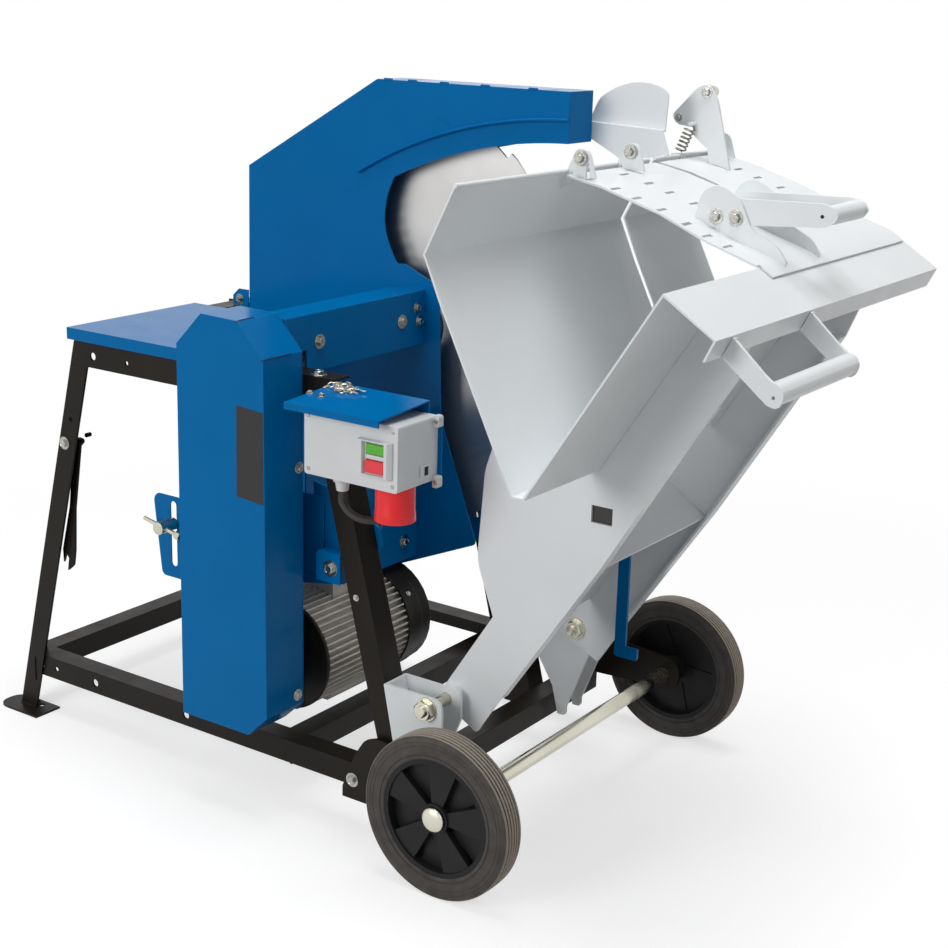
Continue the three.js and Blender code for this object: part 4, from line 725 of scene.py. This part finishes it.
throat = eased([(throat_top, 0, 998.5), (-452.5, 0, 968), (-458.5, 0, 933), (-455.5, 0, 904), (-446, 0, 880),
                (-434, 0, 858)], 5)
hood_edge = rounded([
    (-768, 766), (-766, 992), (-477, 1158, 6), (hood_front, 1158),
    *arc_at_pivot(cut_radius, hood_front, throat_top, 48), *[(spot.x, spot.z) for spot in throat[1:]],
    (-429, 853), (-413, 854, 8), (-347, 826), (-339, 792, 6), (-331, 594), (-250, 385, 10), (-450, 299, 40),
    (-600, 330, 60), (-730, 480, 80), (-768, 620, 40)])
hood_face = sheet("hood_face", hood_edge, [round_plate((-400, 748), hood_hole)], hood_near, hood_inside)
fold_section = ((0, 458.6), (0.6, 451.5), (1.8, 450), (3.6, 450), (5.2, 451.4), (6, 458.6))
fold_mesh = bmesh.new()
fold_rings = []
for x, z in arc_at_pivot(fold_radius, hood_front, fold_rear, 60):
    out = (Vector((x, z)) - pivot).normalized()
    fold_rings.append([fold_mesh.verts.new(at(x - out.x * inward, level, z - out.y * inward))
                       for inward, level in fold_section])
bridge(fold_mesh, fold_rings, ends=True)
hood_plate = joined("hood_near_sheet", [hood_face, as_piece("hood_fold", fold_mesh)])
complete(hood_plate, blue_coat, edge=0.0006)
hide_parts("hood_near_plate")
arrow_way, arrow_across, arrow_tail = Vector((0.905, -0.425)), Vector((0.425, 0.905)), Vector((-352, 1107))
arrow = [arrow_tail + arrow_way * along + arrow_across * over for along, over in (
    (0, -1.6), (19, -1.6), (19, -4.4), (29, 0), (19, 4.4), (19, 1.6), (0, 1.6))]
arrow_mark = plate("turn_arrow", arrow, 457, 458.2)
complete(arrow_mark, blue_coat, edge=0.0005)
tabs = [plate("hood_tab", [(x, 1157), (x + 18, 1157), (x + 17, 1160.4), (x + 1, 1160.4)], 458, 461)
        for x in (-464, -414, -349, -268, -176)]
complete(joined("hood_tabs", tabs), blue_coat, edge=0.0006)

# Motor plate
# A 5 mm blue plate carries the motor by its shield. It hangs from the right leg on a welded strap, and its left
# end reaches the clamp screw's slot, so that the belt can be tightened.
motor_middle = Vector((-425, 235))
carrier = rounded([(-626, 416, 8), (-525, 335), (-525, 145, 20), (-384, 145, 14), (-384, 372, 12), (-291, 389, 6),
                   (-291, 431, 6), (-626, 460, 8)])
strap = rounded([(-353, 551), (-306, 544), (-222, 500), (-214, 470), (-304, 395, 8), (-340, 395, 8)])
motor_plate = joined("motor_carrier", [
    sheet("carrier_plate", carrier, [round_plate(motor_middle, 16)], 149.9, 154.9),
    sheet("carrier_strap", strap, [], 145.3, 151),
])
complete(motor_plate, blue_coat, edge=0.0007)
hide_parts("motor_plate")

# Motor housing
# An aluminium housing with 52 thin cooling fins, painted brown grey, and a black disc at its near end. The
# cable enters a box with a screwed lid on top.
motor_alloy = moulded("motor_alloy", (0.56, 0.53, 0.48), 0.4, 800, 0.00006, 0.1, 30)
fin_count, fin_root, fin_tip = 52, 84, 95
fin_line = []
for fin in range(fin_count):
    for reach, share in ((fin_root, -0.36), (fin_root + 0.8, -0.19), (fin_tip - 0.6, -0.11), (fin_tip, -0.07),
                         (fin_tip, 0.07), (fin_tip - 0.6, 0.11), (fin_root + 0.8, 0.19), (fin_root, 0.36)):
        turn = 2 * pi * (fin + share) / fin_count
        fin_line.append((motor_middle.x + reach * cos(turn), motor_middle.y + reach * sin(turn)))
box_middle, box_half, lid_top = 280.1, 42, 363
box_outline = [(-463, 305), (-387, 305), (-387.4, 356), (-462.6, 356)]
foot_outline = [(-470, 143), (-380, 143), (-372, 152), (-372, 160), (-478, 160), (-478, 152)]
lid_outline = rounded([(-461, 240, 5), (-389, 240, 5), (-389, 320.2, 5), (-461, 320.2, 5)])
housing = joined("motor_housing", [
    sheet("fins", fin_line, [], 159, 405),
    plate("terminal_box", box_outline, box_middle - box_half, box_middle + box_half),
    plate("terminal_lid", lid_outline, 356.2, lid_top, "Z"),
    plate("motor_foot", foot_outline, 215, 365),
])
complete(housing, motor_alloy, edge=0.0004)
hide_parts("motor_body")
motor_axis = at(motor_middle.x, 0, motor_middle.y)
near_end_disc = turned("motor_end_shield", [(12.5, 155.2), (88, 155.2), (94, 156.2), (96, 158), (96, 160.5),
                                      (94.6, 161.5), (12.5, 161.5)], motor_axis, 72, closed=True)
complete(near_end_disc, fan_plastic, angle=25)
skirt_radius, screw_level = 98.4, 392
skirt = turned("fan_cover_skirt", [(95.6, 374), (98, 374), (skirt_radius, 374.6), (skirt_radius, 410),
                                   (96.2, 413.5), (95.6, 413.5)], motor_axis, 72, closed=True)
complete(skirt, fan_plastic)
screw = hexagon_bolt("screw_pattern", across=7, head=2, washer=0.6, washer_width=1.3)
screws = copies("lid_screw", screw, [Matrix.Translation(at(x, y, lid_top)) for x, y in (
    (-455, 246), (-395, 246), (-455, 314), (-395, 314))])
for turn in (0.62, 2.2, 3.8, 5.3):
    x, z = motor_middle + polar(skirt_radius - 0.1, turn)
    screws += copies("cover_screw", screw, [
        Matrix.Translation(at(x, screw_level, z)) @ Matrix.Rotation(pi / 2 - turn, 4, "Y")])
complete(joined("motor_screws", screws), bolt_zinc)
bpy.data.objects.remove(screw)

# Side guard over the motor
# A 3 mm blue sheet stands crosswise over the motor, between the motor plate and the hood. The cable passes
# under its raised left part, and a bolt holds its lower right corner.
guard_outline = [(156, 376), (300, 376), (316, 339.5), (457.6, 339.5), (457.6, 600), (156, 600)]
guard = plate("side_guard", guard_outline, -380, -377, "X")
complete(guard, blue_coat, edge=0.0007)

# Bare label and painted seam shade on the belt cover
# A dark plastic film lies flat on the belt cover's front, at its right edge, and is left bare. Below it, thin
# near black tubes and discs are painted shade: the dark in the open seam between the cover's side and its
# sloped top, and in the folded corners' relief holes.
label_film = moulded("label_film", (0.012, 0.011, 0.013), 0.3, 300, 0.00001, 0.1)
label = plate("bare_label", [(-391.8, 549.4), (-337.4, 545.2), (-337.4, 689.6), (-390.6, 693.6)], 9.7, 10.05)
complete(label, label_film)
# Painted shade: near black seam tubes and relief discs stand for the dark inside the seam and the holes.
seam_shade = moulded("seam_shade", (0.004, 0.01, 0.02), 0.7, 300, 0.00001, 0.1)
seam_shading = joined("cover_seams", [
    tube("side_seam", [at(-335.7, y, 771) for y in (12, 40, 74)], 0.0007, 8),
    tube("top_seam", [at(-387.3, y, 823.5) for y in (12, 30, 48)], 0.0006, 8),
    plate("side_relief", round_plate((-338.4, 769.6), 2.1), 9.8, 10.1),
    plate("top_relief", round_plate((-388.6, 820.9), 1.7), 9.8, 10.1),
])
complete(seam_shading, seam_shade)

# Motor bracket's lug and packing plate
# A folded lug and a packing plate of 3 mm blue sheet are bolted on the motor plate, between the belt cover and
# the right leg. A smaller blue tab with a bolt stands at the hood's left edge, above the table rail.
lug = joined("motor_lug", [
    plate("lug_front", [(-327, 398), (-278, 398), (-278, 449), (-322, 449), (-327, 444)], 121, 124),
    plate("lug_top", [(-322, 124), (-278, 124), (-278, 145.1), (-322, 145.1)], 446, 449, "Z"),
    plate("lug_side", [(124, 400), (145.1, 400), (145.1, 446), (124, 446)], -281, -278, "X"),
])
complete(lug, blue_coat, edge=0.001)
packing_outline = [(-384, 400), (-336, 400), (-328, 440), (-328, 530), (-384, 530)]
packing = plate("packing_plate", packing_outline, 142, 145.1)
complete(packing, blue_coat, edge=0.0008)
tab = plate("hood_tab", [(-768.3, 735.4), (-768.3, 766), (-792, 766), (-806, 753), (-806, 735.4)], 455, 458)
complete(tab, blue_coat, edge=0.0008)

# Details of the switch box
# Moulded ears screwed to the blue plate, a knock-out on the right side with a black patch of painted
# shade in its opening, a raised frame round the two keys, six lid and ear screws, and the ribbed nut of the
# cable gland.
ear_face, ear_back = 84, 96.3
ears = joined("box_ears", [
    *[plate("ear", [(-76.4, low), (-68.5, low), (-66, low + 2.5), (-66, low + 15.5), (-68.5, low + 18),
                    (-76.4, low + 18)], ear_face, ear_back) for low in (698, 607)],
    plate("knock_out", [(52, 628), (72, 628), (72, 646), (52, 646)], -76.2, -73.2, "X"),
])
complete(ears, box_plastic, edge=0.0012)
# Painted shade: a thin black patch in the knock-out's opening stands for the dark inside it.
knock_out_shade = plate("knock_out_hole", [(61, 630.5), (70, 630.5), (70, 643.5), (61, 643.5)], -73.4, -73.0, "X")
complete(knock_out_shade, fan_plastic)
frame_mesh = bmesh.new()
frame_rings = []
for left_in, right_in, top_in, depth in ((0, 0, 0, -2.8), (0.6, 4.2, 0.6, -9.4), (1.6, 5, 1.6, -10),
                                          (8.6, 9.6, 2.4, -10), (9.3, 10.4, 2.8, -8.6), (9.5, 10.6, 3, -2.8)):
    left, right, low, high = -142.5 + left_in, -84 - right_in, 636 + top_in, 690 - top_in
    frame_rings.append([frame_mesh.verts.new(at(x, depth, z))
                        for x, z in ((left, low), (right, low), (right, high), (left, high))])
bridge(frame_mesh, frame_rings)
key_frame = as_piece("key_frame", frame_mesh)
complete(key_frame, box_plastic, edge=0.0004)
gland = at(-216, 50, 611.6)
gland_nut = turned("gland_nut", [(10, -11), (13.6, -11), (14.9, -9.6), (14.9, -0.4), (10, 0)], gland, 36, axis="Z")
rib_start, rib_height, rib_count = 0.0142, 0.0005, 12
for vertex in gland_nut.data.vertices:
    out = (vertex.co - gland).xy
    turn = atan2(out.y, out.x)
    if out.length > rib_start:
        vertex.co.xy += out.normalized() * rib_height * cos(turn * rib_count)
complete(gland_nut, moulded("gland_plastic", (0.82, 0.82, 0.8), 0.35, 900, 0.00001, 0.02))
socket_screw = hexagon_bolt("screw_pattern", across=6.4, head=1.3, washer=0.5, washer_width=1.25)
set_heads("box_screws", socket_screw, "stand", [
    ("switch_box", (-85, 0, 705), "-Y", 0.8), ("switch_box", (-240, 0, 624.5), "-Y", 0.8),
    ("switch_box", (-85, 0, 625), "-Y", 0.8), ("switch_box", (-240, 0, 705), "-Y", 0.8),
])
ear_screws = copies("ear_screw", socket_screw, [
    Matrix.Translation(at(-71, ear_face, height)) @ Matrix.Rotation(pi / 2, 4, "X") for height in (707, 616)])
complete(joined("ear_screws", ear_screws), bolt_zinc)
bpy.data.objects.remove(socket_screw)

# Hairpin clip and its chain
# A spring-steel hairpin hangs on a short chain of bent wire links, and both lie in a heap on the rear of
# the rain canopy. The links follow a curve, each turned about a fifth of a turn from the last.
def chain_tree():
    tree, given, result = new_tree("links_on_line", (("Line", "Geometry"), ("Link", "Object"),
                                                     ("Spacing", "Float"), ("Finish", "Material")), "Links")
    curve = add_node(tree, "GeometryNodeMeshToCurve", {"Mesh": given[0]})
    even = add_node(tree, "GeometryNodeResampleCurve", {"Curve": curve, "Length": given[2]}, mode="LENGTH")
    along = add_node(tree, "GeometryNodeInputTangent")
    index = add_node(tree, "GeometryNodeInputIndex")
    link_turn = 1.25
    twist = add_node(tree, "ShaderNodeMath", {0: index, 1: link_turn}, operation="MULTIPLY")
    return copies_tree(tree, result, even, given[1], given[3], along, "X", (1, 0, 0), twist)


links_on_line = chain_tree()


def along_line(name, shape, spacing, finish, body, lines, angle=40):
    data = bpy.data.meshes.new(name)
    spots, edges = [], []
    for line in lines:
        edges += [(len(spots) + i, len(spots) + i + 1) for i in range(len(line) - 1)]
        spots += line
    data.from_pydata(spots, edges, [])
    values = {"Link": shape, "Spacing": spacing / 1000, "Finish": finish}
    complete(made_by(links_on_line, name, data, values), finish, body, angle)


def canopy_top(x, y, above):
    front_edge, front_height, rise = -20, 722.9, 0.0765
    return at(x, y, front_height + (y - front_edge) * rise + above)


def loop(half_length, half_width, radius, sides=8, steps=20):
    mesh = bmesh.new()
    ring = [Vector((half_length * cos(turn), half_width * sin(turn), 0)) for turn in circle(steps)]
    rounds = []
    for index, spot in enumerate(ring):
        tangent = (ring[(index + 1) % steps] - ring[index - 1]).normalized()
        up = Vector((0, 0, 1))
        side = tangent.cross(up)
        rounds.append([mesh.verts.new((spot + (side * cos(turn) + up * sin(turn)) * radius) / 1000)
                       for turn in circle(sides)])
    bridge(mesh, rounds, closed=True)
    return as_piece("wire_loop", mesh)


wire_finish = plated("spring_wire", (0.55, 0.5, 0.4), 0.25, 140, 700, 0.00001)
chain_link = loop(5.4, 3.4, 0.75)
chain_stops = [(-262, 68), (-254, 82), (-243, 74), (-238, 60), (-228, 66), (-226, 82), (-238, 90), (-248, 84),
               (-244, 68), (-232, 58), (-218, 62), (-212, 74)]
chain_line = eased([canopy_top(x, y, 3.0 + 2.6 * sin(i * 1.9) ** 2) for i, (x, y) in enumerate(chain_stops)], 6)
along_line("clip_chain", chain_link, 7.2, wire_finish, "stand", [chain_line])
bpy.data.objects.remove(chain_link)
clip_stops = [(-196, 60), (-206, 62), (-218, 65), (-232, 69), (-238, 72), (-240, 77), (-235, 81), (-229, 78),
              (-224, 72), (-218, 70), (-212, 74), (-206, 77), (-200, 73), (-192, 74)]
clip_line = eased([canopy_top(x, y, 6.4 if 3 < i < 8 else 4.4) for i, (x, y) in enumerate(clip_stops)], 5)
complete(tube("hairpin_clip", clip_line, 0.0013, 10), wire_finish)

# Weld seams
# Sheet parts and rails are welded where they meet, and each seam shows as a row of small overlapping scales
# under the paint. The hood's top edge has short tack welds.
scale_mesh = bmesh.new()
bmesh.ops.create_icosphere(scale_mesh, subdivisions=2, radius=0.0017)
bmesh.ops.scale(scale_mesh, vec=(0.62, 1, 1), verts=scale_mesh.verts)
weld_scale = as_piece("weld_scale", scale_mesh)


def seam_line(*spots):
    return [at(*spot) for spot in spots]


along_line("hood_welds", weld_scale, 1.5, blue_coat, "stand", [
    seam_line((-369.6, 457.6, 760), (-369.6, 457.6, 815)), seam_line((-370, 457.6, 815.4), (-430, 457.6, 815.4)),
    *[seam_line((x, 459, 1157.2), (x + 16, 459, 1157.2)) for x in (-462, -410, -347, -268, -176)],
    seam_line((-98.6, 459.6, 1082), (-98.6, 459.6, 1156)),
], 60)
along_line("rocker_welds", weld_scale, 1.5, grey_coat, "rocker", [
    *[seam_line((424, y, 908), (410, y, 884)) for y in (14.6, 21.4, 243.6, 250.4)],
    *[seam_line((64, y, 560), (64, y, 573)) for y in (392.6, 407.4)],
], 60)
along_line("stand_welds", weld_scale, 1.5, stand_coat, "stand", [
    seam_line((-1022, 99.6, 4.4), (-984, 99.6, 4.4)), seam_line((-980, 99.6, 60), (-980, 99.6, 104)),
    seam_line((-139, 99.4, 108), (-176, 99.4, 108)),
], 60)
bpy.data.objects.remove(weld_scale)

# Trough's hems and the window's painted shade
# The trough's upper left edge is rolled into a round hem on each side of the blade's slot. A thin dark plate
# in the square window of the near side plate is painted shade, for the dark inside seen through the window.
hem_parts = [tube("hem", eased([at(32.4, y, 1062.4) for y in line], 2), 0.0034, 14)
             for line in ((-29.6, 200, 484), (503, 600, 713.6))]
complete(joined("trough_hems", hem_parts), grey_coat, "rocker")
# Painted shade: a thin plate in dark rubber colour fills the window where its inside would lie in shadow.
shade_plate = plate("window_plug", [(145, 578), (184, 578), (184, 608), (145, 608)], 169.1, 171.4)
complete(shade_plate, cable_rubber, "rocker", edge=0.0006)

# Pivot brackets
# Each bracket is one 5 mm sheet folded to a U, open at its top, with rounded ears and a tail welded down to the
# cross rail. It is bolted to the leg's edge and painted light grey like the cradle.
top, fold_low, thick, gap, screw_hole = 270, 150, 5, 1, 10.3
for side, front, rear, foot, slope in (("near", 94.7, 145.3, -99, -0.2616),
                                       ("far", 544.3, 594.9, -161.6, -0.2542)):
    left, low_left = foot + slope * top + gap, foot + slope * fold_low + gap
    ear = rounded([(left, top, 3), (-57, top, 22), (-57, 222, 28), (-107, 91, 8), (-107, 74, 8), (-124, 74),
                   (-137.4, 124.7)])
    fold = [(left, top - 1), (left + thick, top - 1), (low_left + thick, fold_low), (low_left, fold_low)]
    bracket = joined(side + "_folded_bracket", [
        *[sheet("ear", ear, [round_plate(pivot, screw_hole)], level, level + thick) for level in (front, rear)],
        plate("fold", fold, front + 1, rear + thick - 1),
    ])
    complete(bracket, grey_coat, edge=0.0009)
    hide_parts(side + "_pivot_bracket")

# Pivot screws
# The cradle turns on two 20 mm screws. Each has a washer and a hexagon nut at both cheeks of its bracket, and
# the screw's rounded end stands out of the nut.
big_nut = hexagon_bolt("big_nut_pattern", across=29, head=11, washer=2.4, washer_width=1.3, thread=4.5)
screw_radius, nut_inset, nut_turn = 10, 0.008, 0.3
for side in ("near", "far"):
    low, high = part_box(side + "_pivot_bolt")
    start, end = at(pivot.x, 0, pivot.y), at(pivot.x, 0, pivot.y)
    start.y, end.y = low.y + nut_inset, high.y - nut_inset
    shank = turned("pivot_shank", [(screw_radius, 0), (screw_radius, (end.y - start.y) * 1000)], start, 40)
    nuts = copies("pivot_nut", big_nut, [
        Matrix.Translation(spot) @ Matrix.Rotation(turn, 4, "X") @ Matrix.Rotation(nut_turn, 4, "Z")
        for spot, turn in ((start, pi / 2), (end, -pi / 2))])
    screw = joined(side + "_pivot_screw", [shank] + nuts)
    complete(screw, zinc_plate, angle=28)
    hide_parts(side + "_pivot_bolt")
bpy.data.objects.remove(big_nut)

# Small fixings
# Bolts hold the folded lug, the side guard and the tab at the hood's left edge. A spacer stands behind the
# rear lever, thin black discs at the ends of the handle's arms are painted shade of their screw holes, and a
# pin is welded in the left leg.
fixing = hexagon_bolt("fixing_pattern")
fixings = copies("fixing", fixing, [
    Matrix.Translation(at(*place)) @ Matrix.Rotation(pi / 2, 4, axis) @ Matrix.Scale(size, 4)
    for place, size, axis in (((-297, 121, 423), 1.15, "X"), ((-789, 455, 747), 0.8, "X"),
                              ((-377, 419.7, 375.2), 1.0, "Y"))])
complete(joined("stand_fixings", fixings), bolt_zinc)
bpy.data.objects.remove(fixing)
spacer = turned("lever_spacer", [(5, 610.5), (8.5, 610.5), (9, 611), (9, 624), (8.5, 624.5), (5, 624.5)],
                at(65.3, 0, 1162), 32, closed=True)
complete(spacer, zinc_plate, "cover")
# Painted shade: thin black discs at the arms' ends stand for the dark inside their screw holes.
arm_holes = joined("arm_holes", [plate("arm_hole", round_plate((404.3, 1028.5), 2.6), level, level + 0.6)
                                 for level in (296.6, 402.8)])
complete(arm_holes, fan_plastic, "cover")
leg_pin = turned("leg_pin", [(4, 142), (4, 152), (3, 153)], at(-868, 0, 537), 20)
complete(leg_pin, stand_coat)

# Fan grille
# Five moulded rings and twelve ribs close the far end of the motor's fan cover, and air for the fan passes
# between them.
grille_level, rib_depth, rib_half, rib_in, rib_out = 451.2, 2.2, 1.2, 14, 78
grille_parts = [turned("grille_ring", [(r - 1.3, 0), (r - 0.9, 1.6), (r + 0.9, 1.6), (r + 1.3, 0)],
                       at(motor_middle.x, grille_level, motor_middle.y), 48, closed=True)
                for r in (22, 34, 46, 58, 70)]
for turn in circle(12):
    out, over = polar(1, turn), polar(1, turn + pi / 2)
    rib = [motor_middle + out * reach + over * half for reach, half in (
        (rib_in, -rib_half), (rib_out, -rib_half), (rib_out, rib_half), (rib_in, rib_half))]
    grille_parts.append(plate("grille_rib", rib, grille_level, grille_level + rib_depth))
complete(joined("fan_grille", grille_parts), fan_plastic, edge=0.0003)
